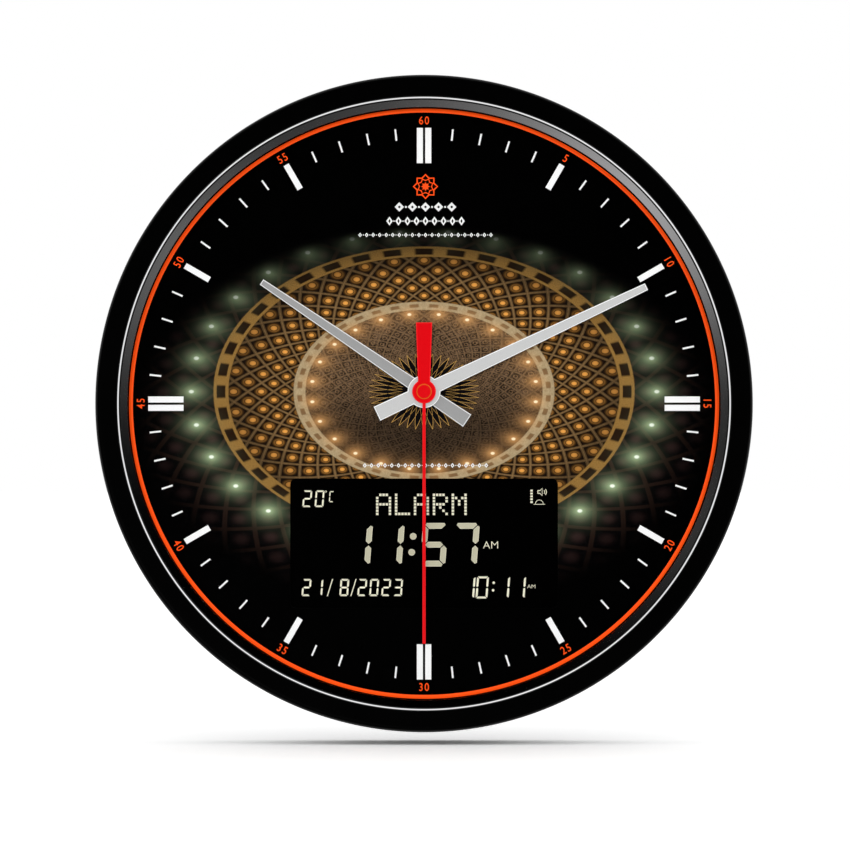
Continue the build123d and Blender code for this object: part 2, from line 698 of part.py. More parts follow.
def cover_with_battery_box(cover):
    """A tub for three cells under a door that swings on two pins."""
    centre = (BAY_X, BAY_Z)
    cover += block(BAY_WIDTH + 2 * BAY_WALL, BAY_TALL + 2 * BAY_WALL, PANEL_HIGH, BAY_TOP + BAY_WALL, centre)
    cover -= block(BAY_WIDTH, BAY_TALL, PANEL_HIGH, BAY_TOP, centre)
    left, right = door_outline_x()
    opening_left = left - HINGE_RADIUS - HINGE_GAP
    opening_right = right + DOOR_GAP
    opening_width = opening_right - opening_left
    opening_tall = BAY_TALL + 2 * DOOR_GAP
    middle = ((opening_left + opening_right) / 2, BAY_Z)
    cover -= block(opening_width, opening_tall, PANEL_LOW, PANEL_HIGH, middle)
    ledge_width = left - opening_left + 2.0
    ledge_centre = ((opening_left + left) / 2, BAY_Z)
    ledge = block(ledge_width, BAY_TALL, PANEL_HIGH, PANEL_HIGH + BAY_WALL, ledge_centre)
    cover += ledge - block(BAY_WIDTH, BAY_TALL, PANEL_HIGH, BAY_TOP, centre)
    hole_length = opening_tall + 2 * (PIN_LENGTH + FIT_GAP)
    pin_hole = Pos(HINGE_X, -HINGE_HEIGHT, BAY_Z) * Cylinder(PIN_RADIUS + RUNNING_GAP, hole_length)
    return cover - pin_hole


def cover_with_speaker_seat(cover):
    """A collar round the loudspeaker and a round field of sound slots."""
    centre = (SPEAKER_X, SPEAKER_Z)
    collar_inner = SPEAKER_RADIUS + FIT_GAP
    collar_wall = 1.5
    collar_height = 5.0
    cover += tube(collar_inner + collar_wall, collar_inner, PANEL_HIGH, PANEL_HIGH + collar_height, centre)
    field_radius = 23.0
    slot_width = 2.4
    slot_pitch = 5.0
    rows_each_side = 4
    for row in range(-rows_each_side, rows_each_side + 1):
        across = row * slot_pitch
        length = 2 * math.sqrt(field_radius ** 2 - across ** 2)
        outline = Pos(SPEAKER_X, SPEAKER_Z + across) * SlotOverall(length, slot_width)
        cover -= slab(outline, PANEL_LOW, PANEL_HIGH)
    return cover


def cover_with_hanger_pocket(cover):
    """A closed pocket behind the keyhole plate, for the head of the wall screw."""
    wall = 1.5
    centre = (0, HANGER_Z)
    cover += block(POCKET_WIDTH + 2 * wall, POCKET_TALL + 2 * wall, PANEL_HIGH, POCKET_TOP + wall, centre)
    cover -= block(POCKET_WIDTH, POCKET_TALL, PANEL_LOW, POCKET_TOP, centre)
    post_radius = 2.8
    post_height = 5.0
    for spot in hanger_screw_spots():
        post = disc(post_radius, PANEL_HIGH, PANEL_HIGH + post_height, spot)
        cover += post - block(POCKET_WIDTH, POCKET_TALL, PANEL_LOW, POCKET_TOP, centre)
        cover -= disc(HANGER_SCREW_RADIUS, PANEL_LOW, PANEL_HIGH + HANGER_SCREW_BITE, spot)
    return cover


def cover_with_holes(cover):
    """Holes for the case screws and the buttons, and the vents of the temperature sensor."""
    for angle in around(CASE_SCREW_COUNT, FIRST_SCREW_ANGLE):
        cover -= disc(COVER_SCREW_RADIUS, PANEL_LOW, PANEL_HIGH, on_circle(BOSS_CIRCLE_RADIUS, angle))
    for x in BUTTON_SPOTS.values():
        cover -= disc(BUTTON_RADIUS + FIT_GAP, PANEL_LOW, PANEL_HIGH, (x, BUTTON_Z))
    vent_count = 5
    vent_pitch = 4.5
    vent_length = 13.0
    vent_width = 2.0
    for vent in range(vent_count):
        x = SENSOR_SPOT[0] + (vent - (vent_count - 1) / 2) * vent_pitch
        outline = Pos(x, SENSOR_SPOT[1]) * Rot(0, 0, 90) * SlotOverall(vent_length, vent_width)
        cover -= slab(outline, PANEL_LOW, PANEL_HIGH)
    return cover


def cover_screws():
    """Pan head screws with a cross recess; the heads stay below the wall plane."""
    head_low = 0.4
    head_radius = 2.3
    head_round = 0.5
    recess_depth = 0.9
    recess_length = 2.4
    recess_width = 0.6
    solids = []
    for angle in around(CASE_SCREW_COUNT, FIRST_SCREW_ANGLE):
        spot = on_circle(BOSS_CIRCLE_RADIUS, angle)
        head = disc(head_radius, head_low, PANEL_LOW, spot)
        head = fillet(head.faces().sort_by(Axis.Y)[-1].edges(), head_round)
        screw = head + disc(COVER_SCREW_RADIUS, PANEL_LOW, PANEL_HIGH + COVER_SCREW_BITE, spot)
        recess = cross_recess(spot, head_low, head_low + recess_depth, recess_length, recess_width)
        solids.append(screw - recess)
    return group(solids)


def cross_recess(spot, low, high, length, width):
    outline = Rectangle(length, width) + Rectangle(width, length)
    return slab(Pos(*spot) * outline, low, high)


def hanger_screw_spots():
    across = (-HANGER_SCREW_X, HANGER_SCREW_X)
    upright = (HANGER_Z - HANGER_SCREW_Z, HANGER_Z + HANGER_SCREW_Z)
    return [(x, z) for x in across for z in upright]


def hanger_plate():
    """A stamped plate with a keyhole: a round mouth for the screw's head and a slot for its neck."""
    low = PANEL_LOW - HANGER_THICKNESS
    corner = 3.0
    outline = Pos(0, HANGER_Z) * RectangleRounded(HANGER_WIDTH, HANGER_TALL, corner)
    mouth_z = HANGER_Z - KEYHOLE_DROP
    slot_top = HANGER_Z + KEYSLOT_RISE
    outline -= Pos(0, mouth_z) * Circle(KEYHOLE_RADIUS)
    outline -= Pos(0, (mouth_z + slot_top) / 2) * Rectangle(2 * KEYSLOT_RADIUS, slot_top - mouth_z)
    outline -= Pos(0, slot_top) * Circle(KEYSLOT_RADIUS)
    plate = slab(outline, low, PANEL_LOW)
    for spot in hanger_screw_spots():
        plate -= hanger_screw_head(spot)
    return plate


def hanger_screw_head(spot):
    low = PANEL_LOW - HANGER_THICKNESS
    cone = [(0, low), (HANGER_SCREW_HEAD_RADIUS, low), (HANGER_SCREW_RADIUS, PANEL_LOW), (0, PANEL_LOW)]
    return turned(cone, spot)


def hanger_screws():
    """Countersunk screws, flush with the plate."""
    low = PANEL_LOW - HANGER_THICKNESS
    recess_depth = 0.7
    recess_length = 1.8
    recess_width = 0.5
    return group(
        hanger_screw_head(spot)
        + disc(HANGER_SCREW_RADIUS, PANEL_LOW, PANEL_HIGH + HANGER_SCREW_BITE, spot)
        - cross_recess(spot, low, low + recess_depth, recess_length, recess_width)
        for spot in hanger_screw_spots()
    )


def battery_door():
    """A flat door with a rounded hinge edge, two pins and a thumb notch at the free edge."""
    left, right = door_outline_x()
    tall = BAY_TALL - 2 * DOOR_GAP
    door = block(right - left, tall, PANEL_LOW, PANEL_HIGH, ((left + right) / 2, BAY_Z))
    door += Pos(left, -HINGE_HEIGHT, BAY_Z) * Cylinder(HINGE_RADIUS, tall)
    door += Pos(left, -HINGE_HEIGHT, BAY_Z) * Cylinder(PIN_RADIUS, BAY_TALL + 2 * PIN_LENGTH)
    notch_radius = 4.2
    notch_depth = 1.0
    notch_length = 16.0
    notch_y = notch_radius - notch_depth - PANEL_LOW
    return door - Pos(right, notch_y, BAY_Z) * Cylinder(notch_radius, notch_length)


# ---------------------------------------------------------------- cells and contacts
def cell(x, z, height, pointing_up):
    """A standard cell lying upright: case, raised nub and a recessed rim at each end."""
    direction = 1 if pointing_up else -1
    edge_round = 0.5
    case = Cylinder(CELL_RADIUS, CELL_LENGTH)
    case = fillet(case.edges(), edge_round)
    nub = Pos(0, 0, direction * (CELL_LENGTH + NUB_LENGTH) / 2) * Cylinder(NUB_RADIUS, NUB_LENGTH)
    return Pos(x, -height, z - direction * NUB_LENGTH / 2) * (case + nub)


def main_cell_places():
    """Each cell's x and whether its nub points up; neighbours point opposite ways."""
    first = -(CELL_COUNT - 1) / 2
    return [(BAY_X + (first + place) * CELL_PITCH, place % 2 == 0) for place in range(CELL_COUNT)]


def main_cells():
    return group(cell(x, BAY_Z, MAIN_CELL_HEIGHT, up) for x, up in main_cell_places())


def battery_contacts():
    """Plated strips at the two ends of the battery box."""
    width = 12.0
    half_tall = 4.5
    plates = []
    for x, up in main_cell_places():
        for side in (-1, 1):
            z = BAY_Z + side * (BAY_TALL - CONTACT_THICKNESS) / 2
            plates.append(block(width, CONTACT_THICKNESS, MAIN_CELL_HEIGHT - half_tall,
                                MAIN_CELL_HEIGHT + half_tall, (x, z)))
    return group(plates)


def contact_springs():
    """The cone that each coil spring fills between a contact and a cell's flat end."""
    wide_radius = 3.8
    narrow_radius = 2.4
    springs = []
    for x, up in main_cell_places():
        side = -1 if up else 1
        cell_end = BAY_Z + side * (CELL_LENGTH + NUB_LENGTH) / 2
        plate = BAY_Z + side * (BAY_TALL / 2 - CONTACT_THICKNESS)
        cone = Cone(wide_radius, narrow_radius, abs(plate - cell_end))
        turn = 0 if side < 0 else 180
        springs.append(Pos(x, -MAIN_CELL_HEIGHT, (plate + cell_end) / 2) * Rot(turn, 0, 0) * cone)
    return group(springs)


# ---------------------------------------------------------------- loudspeaker
def speaker_frame():
    """A pressed basket: mounting flange at the panel, open cone-shaped side and a back plate."""
    low = SPEAKER_SEAT
    high = SPEAKER_BACK
    basket = turned([
        (24.5, low), (SPEAKER_RADIUS, low), (SPEAKER_RADIUS, low + 1.2), (26.2, low + 1.2),
        (26.2, low + 3.2), (16.0, high), (6.5, high), (6.5, high - 1.0), (15.3, high - 1.0),
        (24.5, low + 2.6),
    ], (SPEAKER_X, SPEAKER_Z))
    window_count = 4
    window = Pos(0, 20.0) * Rectangle(12.0, 7.0)
    for angle in around(window_count, 45.0):
        outline = Pos(SPEAKER_X, SPEAKER_Z) * Rot(0, 0, angle) * window
        basket -= slab(outline, low + 3.5, high - 1.2)
    return basket


def speaker_magnet():
    radius = 15.0
    thickness = 5.5
    edge = 0.5
    magnet = disc(radius, SPEAKER_BACK, SPEAKER_BACK + thickness, (SPEAKER_X, SPEAKER_Z))
    return chamfer(magnet.edges(), edge)


def speaker_cone():
    """Paper cone with a rolled edge and a domed cap over the voice coil."""
    low = SPEAKER_SEAT
    return turned([
        (0, low + 3.8), (4.0, low + 4.4), (7.0, low + 6.2), (19.5, low + 2.6), (21.5, low + 1.4),
        (23.0, low + 1.4), (24.4, low + 2.0), (24.4, low + 2.5), (23.0, low + 2.0), (21.8, low + 2.0),
        (19.8, low + 3.2), (7.0, low + 8.2), (6.2, low + 10.2), (5.6, low + 10.2), (5.6, low + 6.4),
        (0, low + 4.5),
    ], (SPEAKER_X, SPEAKER_Z))


# ---------------------------------------------------------------- quartz movement: fixed pieces
def movement_point(across, up):
    """A point given from the hands' axis."""
    return (across, AXIS_UP + up)


def mechanism_cavity(low, high):
    half_width = MOVEMENT_HALF_WIDTH - MOVEMENT_WALL
    corner = 1.0
    return block(2 * half_width, 2 * TRAIN_HALF_TALL, low, high, AXIS, corner)


def cell_cavity(low, high):
    half_width = MOVEMENT_HALF_WIDTH - MOVEMENT_WALL
    tall = 2 * CELL_RADIUS + 1.2
    return block(2 * half_width, tall, low, high, movement_point(0, MOVEMENT_CELL_UP))


def movement_shell(low, high):
    tall = MOVEMENT_ABOVE + MOVEMENT_BELOW
    corner = 2.0
    middle = movement_point(0, (MOVEMENT_ABOVE - MOVEMENT_BELOW) / 2)
    return block(2 * MOVEMENT_HALF_WIDTH, tall, low, high, middle, corner)


def pivot_boss(shell, centre, low, high, pocket_low, pocket_high):
    """A post in the shell with a blind hole for a pivot."""
    post_radius = 1.2
    shell += disc(post_radius, low, high, centre)
    return shell - disc(PIVOT_RADIUS + RUNNING_GAP, pocket_low, pocket_high, centre)


def movement_case_front():
    """The front half: it carries the threaded bushing, the front pivots and the cell's floor."""
    floor = MOVEMENT_FRONT - MOVEMENT_WALL
    cell_floor = MOVEMENT_FRONT - 0.7
    boss_height = 0.3
    pocket_depth = 0.7
    shell = movement_shell(MOVEMENT_SPLIT, MOVEMENT_FRONT)
    shell -= mechanism_cavity(MOVEMENT_SPLIT, floor)
    shell -= cell_cavity(MOVEMENT_SPLIT, cell_floor)
    shell -= disc(BUSHING_RADIUS, floor, MOVEMENT_FRONT, AXIS)
    for centre in (THIRD_AXIS, MINUTE_AXIS, SETTING_AXIS):
        low = floor - boss_height
        shell = pivot_boss(shell, centre, low, floor, low, floor + pocket_depth)
    return shell


def movement_case_back():
    """The back half: open at the cell's bay, with the back pivots and the knob's hole."""
    floor = MOVEMENT_BACK + MOVEMENT_WALL
    boss_height = 0.4
    pocket_depth = 0.6
    shell = movement_shell(MOVEMENT_BACK, MOVEMENT_SPLIT)
    shell -= mechanism_cavity(floor, MOVEMENT_SPLIT)
    shell -= cell_cavity(MOVEMENT_BACK, MOVEMENT_SPLIT)
    for centre in (AXIS, THIRD_AXIS, INTERMEDIATE_AXIS, ROTOR_AXIS):
        high = floor + boss_height
        shell = pivot_boss(shell, centre, floor, high, floor - pocket_depth, high)
    return shell - disc(SETTING_SHAFT_RADIUS + RUNNING_GAP, MOVEMENT_BACK, floor, SETTING_AXIS)


def train_plate():
    """The middle plate between the two storeys of the train."""
    left = -(MOVEMENT_HALF_WIDTH - MOVEMENT_WALL)
    right = 17.8
    tall = 2 * (TRAIN_HALF_TALL - MOVEMENT_WALL)
    middle = movement_point((left + right) / 2, 0)
    plate = block(right - left, tall, TRAIN_PLATE_LOW, TRAIN_PLATE_HIGH, middle)
    holes = [
        (AXIS, SECONDS_RADIUS), (THIRD_AXIS, PIVOT_RADIUS), (INTERMEDIATE_AXIS, PIVOT_RADIUS),
        (ROTOR_AXIS, PIVOT_RADIUS), (MINUTE_AXIS, PIVOT_RADIUS), (SETTING_AXIS, SETTING_SHAFT_RADIUS),
    ]
    for centre, radius in holes:
        plate -= disc(radius + RUNNING_GAP, TRAIN_PLATE_LOW, TRAIN_PLATE_HIGH, centre)
    return plate


def threaded_bushing():
    """The tube that clamps the movement to the dial; its thread is left a plain cylinder."""
    low = MOVEMENT_FRONT - MOVEMENT_WALL
    bore = HOUR_TUBE_RADIUS + RUNNING_GAP
    edge = 0.3
    return turned([
        (bore, low),
        (BUSHING_RADIUS, low),
        (BUSHING_RADIUS, BUSHING_TOP - edge),
        (BUSHING_RADIUS - edge, BUSHING_TOP),
        (bore, BUSHING_TOP),
    ], AXIS)


def hex_nut():
    """A six-sided nut whose front corners are turned down to a cone."""
    outline = RegularPolygon(NUT_ACROSS_FLATS / 2, 6, major_radius=False) - Circle(BUSHING_RADIUS)
    top = DIAL_TOP + NUT_HEIGHT
    nut = slab(Pos(*AXIS) * outline, DIAL_TOP, top)
    reach = NUT_ACROSS_FLATS / math.sqrt(3) + 0.1
    turned_width = 0.8
    turned_height = 0.5
    crown = turned([(0, DIAL_TOP), (reach, DIAL_TOP), (reach, top - turned_height),
                    (reach - turned_width, top), (0, top)], AXIS)
    return nut & crown


def rubber_washer():
    radius = 11.0
    return tube(radius, BUSHING_RADIUS + RUNNING_GAP, MOVEMENT_FRONT, DIAL_BOTTOM, AXIS)


def motor_stator():
    """The iron plate that closes the coil's field round the rotor."""
    left = 10.4
    window_tall = 19.0
    outer_tall = 27.0
    core_right = COIL_ACROSS + CORE_WIDTH / 2
    outline = Pos((left + core_right) / 2, AXIS_UP) * Rectangle(core_right - left, outer_tall)
    window_left = 17.3
    window_right = COIL_ACROSS - CORE_WIDTH / 2
    window_middle = (window_left + window_right) / 2
    outline -= Pos(window_middle, AXIS_UP) * Rectangle(window_right - window_left, window_tall)
    rotor_room = 3.1
    knob_room = 2.4
    outline -= Pos(*ROTOR_AXIS) * Circle(rotor_room)
    outline -= Pos(*SETTING_AXIS) * Circle(knob_room)
    return slab(outline, STATOR_LOW, STATOR_HIGH)


def coil_bobbin():
    """The plastic former on the stator's core, with a flange at each end."""
    flange_width = 6.8
    flange_thickness = 6.4
    body = bobbin_core()
    for side in (-1, 1):
        spot = movement_point(COIL_ACROSS, side * (COIL_HALF_LENGTH - COIL_FLANGE / 2))
        body += block(flange_width, COIL_FLANGE, STATOR_MIDDLE - flange_thickness / 2,
                      STATOR_MIDDLE + flange_thickness / 2, spot)
    core = movement_point(COIL_ACROSS, 0)
    return body - block(CORE_WIDTH, 2 * COIL_HALF_LENGTH, STATOR_LOW, STATOR_HIGH, core)


def bobbin_core():
    return block(BOBBIN_WIDTH, 2 * COIL_HALF_LENGTH, STATOR_MIDDLE - BOBBIN_THICKNESS / 2,
                 STATOR_MIDDLE + BOBBIN_THICKNESS / 2, movement_point(COIL_ACROSS, 0))


def motor_coil():
    """The winding, rounded by its wire."""
    width = 6.0
    half_thickness = 2.9
    wire_round = 1.8
    half_length = COIL_HALF_LENGTH - COIL_FLANGE
    winding = block(width, 2 * half_length, STATOR_MIDDLE - half_thickness, STATOR_MIDDLE + half_thickness,
                    movement_point(COIL_ACROSS, 0))
    long_edges = winding.edges().filter_by(Axis.Z)
    return fillet(long_edges, wire_round) - bobbin_core()


def movement_board():
    """The driver board on two posts of the front half, with its sealed chip and the crystal's can."""
    floor = MOVEMENT_FRONT - MOVEMENT_WALL
    low = 20.6
    high = 21.6
    chip_radius = 2.6
    chip_height = 1.0
    can_height = 1.6
    post_radius = 1.3
    post_up = 13.0
    board = block(9.5, 33.0, low, high, movement_point(-21.6, 0), 0.5)
    board += disc(chip_radius, low - chip_height, low, movement_point(-21.4, 3.0))
    board += block(2.0, 6.2, low - can_height, low, movement_point(-20.0, -8.0), 0.6)
    for up in (-post_up, post_up):
        board += disc(post_radius, high, floor, movement_point(-22.5, up))
    return board


def movement_cell():
    """The movement's own cell, lying across, with its nub to the right."""
    lying = Rot(0, 90, 0) * cell(0, 0, 0, True)
    up = AXIS_UP + MOVEMENT_CELL_UP
    return Pos(MOVEMENT_CELL_SHIFT, -MOVEMENT_SPLIT, up) * lying


def movement_contacts():
    """A flat contact for the nub and a contact with its spring's cone for the flat end."""
    thickness = 0.4
    tall = 10.0
    half_height = 4.5
    wide_radius = 3.6
    narrow_radius = 2.4
    inner = MOVEMENT_HALF_WIDTH - MOVEMENT_WALL
    low = MOVEMENT_SPLIT - half_height
    high = MOVEMENT_SPLIT + half_height
    solids = []
    for side in (-1, 1):
        centre = movement_point(side * (inner - thickness / 2), MOVEMENT_CELL_UP)
        solids.append(block(thickness, tall, low, high, centre))
    flat_end = MOVEMENT_CELL_SHIFT - (CELL_LENGTH + NUB_LENGTH) / 2
    plate = -(inner - thickness)
    cone = Rot(0, 90, 0) * Cone(wide_radius, narrow_radius, flat_end - plate)
    place = Pos((flat_end + plate) / 2, -MOVEMENT_SPLIT, AXIS_UP + MOVEMENT_CELL_UP)
    solids.append(place * cone)
    return group(solids)


# ---------------------------------------------------------------- quartz movement: turning pieces
def motor_rotor():
    """The round magnet with its pinion."""
    neck_radius = 0.7
    magnet_radius = 2.5
    magnet_low = 13.2
    magnet_high = 15.9
    rotor = gear(ROTOR_TEETH, ROTOR_MODULE, ROTOR_PHASE, PIVOT_RADIUS, ROTOR_PINION_SPAN, ROTOR_AXIS)
    rotor += disc(neck_radius, ROTOR_PINION_SPAN[1], magnet_low, ROTOR_AXIS)
    rotor += disc(magnet_radius, magnet_low, magnet_high, ROTOR_AXIS)
    return rotor + disc(PIVOT_RADIUS, BACK_PIVOT_LOW, MIDDLE_PIVOT_HIGH, ROTOR_AXIS)


def intermediate_wheel():
    wheel = gear(INTERMEDIATE_TEETH, ROTOR_MODULE, INTERMEDIATE_PHASE, PIVOT_RADIUS, INTERMEDIATE_SPAN,
                 INTERMEDIATE_AXIS)
    wheel += gear(INTERMEDIATE_PINION_TEETH, SECONDS_MODULE, INTERMEDIATE_PINION_PHASE, PIVOT_RADIUS,
                  INTERMEDIATE_PINION_SPAN, INTERMEDIATE_AXIS)
    return wheel + disc(PIVOT_RADIUS, BACK_PIVOT_LOW, MIDDLE_PIVOT_HIGH, INTERMEDIATE_AXIS)


def seconds_arbor():
    """The wheel and pinion on the long thin arbor that carries the second hand."""
    neck_radius = 1.6
    shoulder = 12.2
    arbor_top = SECOND_HAND_LOW + HAND_THICKNESS + ARBOR_STAND
    wheel = gear(SECONDS_TEETH, SECONDS_MODULE, SECONDS_PHASE, SECONDS_RADIUS, SECONDS_SPAN, AXIS)
    wheel += disc(neck_radius, SECONDS_SPAN[1], SECONDS_PINION_SPAN[0], AXIS)
    wheel += gear(SECONDS_PINION_TEETH, THIRD_MODULE, SECONDS_PINION_PHASE, SECONDS_RADIUS,
                  SECONDS_PINION_SPAN, AXIS)
    wheel += disc(SECONDS_RADIUS, shoulder, arbor_top, AXIS)
    return wheel + disc(PIVOT_RADIUS, BACK_PIVOT_LOW, shoulder, AXIS)


def third_wheel():
    wheel = gear(THIRD_TEETH, THIRD_MODULE, THIRD_PHASE, PIVOT_RADIUS, THIRD_SPAN, THIRD_AXIS)
    wheel += gear(THIRD_PINION_TEETH, CENTRE_MODULE, THIRD_PINION_PHASE, PIVOT_RADIUS, THIRD_PINION_SPAN,
                  THIRD_AXIS)
    return wheel + disc(PIVOT_RADIUS, BACK_PIVOT_LOW, FRONT_PIVOT_HIGH, THIRD_AXIS)


def centre_wheel():
    """It rides on the minute arbor and drives it through a slipping fit."""
    bore = MINUTE_TUBE_RADIUS + RUNNING_GAP
    return gear(CENTRE_TEETH, CENTRE_MODULE, CENTRE_PHASE, bore, CENTRE_SPAN, AXIS)


def minute_arbor():
    """A hollow arbor with a shoulder over the centre wheel and the cannon pinion's teeth."""
    bore = SECONDS_RADIUS + RUNNING_GAP
    low = 17.2
    shoulder_radius = 2.6
    shoulder_low = 18.5
    arbor = tube(MINUTE_TUBE_RADIUS, bore, low, MINUTE_HAND_LOW + HAND_THICKNESS + ARBOR_STAND, AXIS)
    arbor += tube(shoulder_radius, MINUTE_TUBE_RADIUS, shoulder_low, CANNON_SPAN[0], AXIS)
    return arbor + gear(CANNON_TEETH, MINUTE_MODULE, CANNON_PHASE, MINUTE_TUBE_RADIUS, CANNON_SPAN, AXIS)


def minute_wheel():
    wheel = gear(MINUTE_TEETH, MINUTE_MODULE, MINUTE_PHASE, PIVOT_RADIUS, MINUTE_SPAN, MINUTE_AXIS)
    wheel += gear(MINUTE_PINION_TEETH, HOUR_MODULE, MINUTE_PINION_PHASE, PIVOT_RADIUS, MINUTE_PINION_SPAN,
                  MINUTE_AXIS)
    return wheel + disc(PIVOT_RADIUS, MIDDLE_PIVOT_LOW, FRONT_PIVOT_HIGH, MINUTE_AXIS)


def hour_wheel():
    """The wheel and tube that turn round the minute arbor and carry the hour hand."""
    bore = MINUTE_TUBE_RADIUS + RUNNING_GAP
    tube_top = HOUR_HAND_LOW + HAND_THICKNESS + ARBOR_STAND
    wheel = gear(HOUR_TEETH, HOUR_MODULE, HOUR_PHASE, HOUR_TUBE_RADIUS, HOUR_SPAN, AXIS)
    return wheel + tube(HOUR_TUBE_RADIUS, bore, HOUR_SPAN[0], tube_top, AXIS)


def setting_knob():
    """The finger knob on the movement's back, with its shaft and pinion."""
    grip_span = (6.3, MOVEMENT_BACK - 0.2)
    grip_teeth = 18
    grip_module = 0.5
    knob = gear(grip_teeth, grip_module, 0.0, PIVOT_RADIUS, grip_span, SETTING_AXIS)
    knob += disc(SETTING_SHAFT_RADIUS, grip_span[0], SETTING_SPAN[1], SETTING_AXIS)
    knob += gear(SETTING_TEETH, MINUTE_MODULE, SETTING_PHASE, SETTING_SHAFT_RADIUS, SETTING_SPAN,
                 SETTING_AXIS)
    return knob + disc(PIVOT_RADIUS, SETTING_SPAN[1], FRONT_PIVOT_HIGH, SETTING_AXIS)


# ---------------------------------------------------------------- all sub-parts
SUB_PARTS = [
    front_frame, bezel_trim, inner_bezel, lens, spacer_ring, accent_ring, dial_plate, hour_batons,
    minute_ticks, hour_hand, minute_hand, second_hand, lcd_glass, lcd_backlight, lcd_frame, zebra_strip,
    main_board, board_chips, board_screws, tact_switches, temperature_sensor, speaker_frame,
    speaker_magnet, speaker_cone, back_cover, cover_screws, hanger_plate, hanger_screws, battery_door,
    battery_contacts, contact_springs, main_cells, movement_case_front, movement_case_back, train_plate,
    threaded_bushing, hex_nut, rubber_washer, motor_stator, coil_bobbin, motor_coil, movement_board,
    movement_cell, movement_contacts, motor_rotor, intermediate_wheel, seconds_arbor, third_wheel,
    centre_wheel, minute_arbor, minute_wheel, hour_wheel, setting_knob,
]

os.makedirs("parts", exist_ok=True)
for sub_part in SUB_PARTS:
    export_step(sub_part(), f"parts/{sub_part.__name__}.step")
for name, spot_x in BUTTON_SPOTS.items():
    export_step(push_button(spot_x), f"parts/{name}.step")
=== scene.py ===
import math

import bmesh
import bpy
import numpy as np
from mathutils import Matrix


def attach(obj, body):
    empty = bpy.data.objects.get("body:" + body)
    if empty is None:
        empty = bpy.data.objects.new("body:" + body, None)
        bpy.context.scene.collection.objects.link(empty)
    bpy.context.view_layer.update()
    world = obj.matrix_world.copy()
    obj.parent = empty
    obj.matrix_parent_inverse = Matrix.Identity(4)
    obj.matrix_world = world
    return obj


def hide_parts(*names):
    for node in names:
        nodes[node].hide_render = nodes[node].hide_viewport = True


# A round wall clock. Lengths are in millimetres. A height is a distance in front of the wall, so it
# points along -Y, and a clock angle runs clockwise from the top in degrees.
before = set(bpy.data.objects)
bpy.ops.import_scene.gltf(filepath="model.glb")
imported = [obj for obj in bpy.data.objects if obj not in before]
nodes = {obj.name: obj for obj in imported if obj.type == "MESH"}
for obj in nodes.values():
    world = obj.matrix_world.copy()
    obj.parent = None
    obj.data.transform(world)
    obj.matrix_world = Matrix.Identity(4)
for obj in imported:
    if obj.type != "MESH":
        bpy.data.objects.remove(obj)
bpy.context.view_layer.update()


# -------- studio: camera and surround
# A white studio. The camera looks straight at the clock's face, a little to the right of its centre
# and a little below it. At the sharp distance its picture reaches HALF_VIEW to either side.
scene = bpy.context.scene
scene.view_settings.view_transform = "Standard"

CAMERA_SPOT = (0.46, -2440.0, -10.42)
SHARP_DISTANCE = 2400.5
HALF_VIEW = 206.76
SOFT_LIGHT = 0.5

camera = bpy.data.objects.new("camera", bpy.data.cameras.new("camera"))
camera.location = [part / 1000 for part in CAMERA_SPOT]
camera.rotation_euler = (math.radians(90), 0, 0)
camera.data.lens = camera.data.sensor_width / 2 * SHARP_DISTANCE / HALF_VIEW
camera.data.clip_end = 100
scene.collection.objects.link(camera)
scene.camera = camera


def linear(red, green, blue):
    """A colour in linear light from three screen values of 0 to 255."""
    return tuple(((part / 255 + 0.055) / 1.055) ** 2.4 if part > 10 else part / 255 / 12.92
                 for part in (red, green, blue))


class Number:
    """A number in a net of nodes: each operator adds one Math node and gives its output."""

    def __init__(self, net, socket):
        self.net = net
        self.socket = socket

    def math(self, operation, *others):
        """A Math node whose first input is this number."""
        return self.net.math(operation, self, *others)

    def __add__(self, other):
        return self.math("ADD", other)

    def __sub__(self, other):
        return self.math("SUBTRACT", other)

    def __rsub__(self, other):
        return self.net.math("SUBTRACT", other, self)

    def __mul__(self, other):
        return self.math("MULTIPLY", other)

    def __truediv__(self, other):
        return self.math("DIVIDE", other)

    def __pow__(self, other):
        return self.math("POWER", other)

    __radd__ = __add__
    __rmul__ = __mul__

    def rise(self, start, end):
        """0 up to start, 1 from end on, and smooth between them."""
        ramp = self.net.node("MapRange", {"interpolation_type": "SMOOTHSTEP"},
                             {0: self, 1: start, 2: end, 3: 0.0, 4: 1.0})
        return Number(self.net, ramp.outputs[0])

    def band(self, low, high, soft):
        """1 between low and high, and 0 outside them, with soft edges."""
        return self.rise(low - soft, low + soft) * (1 - self.rise(high - soft, high + soft))


class Net:
    """The nodes of the world or of a material."""

    def __init__(self, tree):
        self.tree = tree

    def feed(self, socket, value):
        """Sets a socket, or links it where the value comes from another node."""
        if isinstance(value, Number):
            value = value.socket
        if isinstance(value, bpy.types.NodeSocket):
            self.tree.links.new(value, socket)
        elif isinstance(value, tuple) and len(value) == 3 and socket.type == "RGBA":
            socket.default_value = (*value, 1.0)
        else:
            socket.default_value = value

    def node(self, kind, settings=None, sockets=None):
        """A new node: its settings first, then a value or a link for each named or numbered socket."""
        made = self.tree.nodes.new("ShaderNode" + kind)
        for word, value in (settings or {}).items():
            setattr(made, word, value)
        for word, value in (sockets or {}).items():
            self.feed(made.inputs[word], value)
        return made

    def math(self, operation, *values):
        """The output of a new Math node."""
        made = self.node("Math", {"operation": operation}, dict(enumerate(values)))
        return Number(self, made.outputs[0])


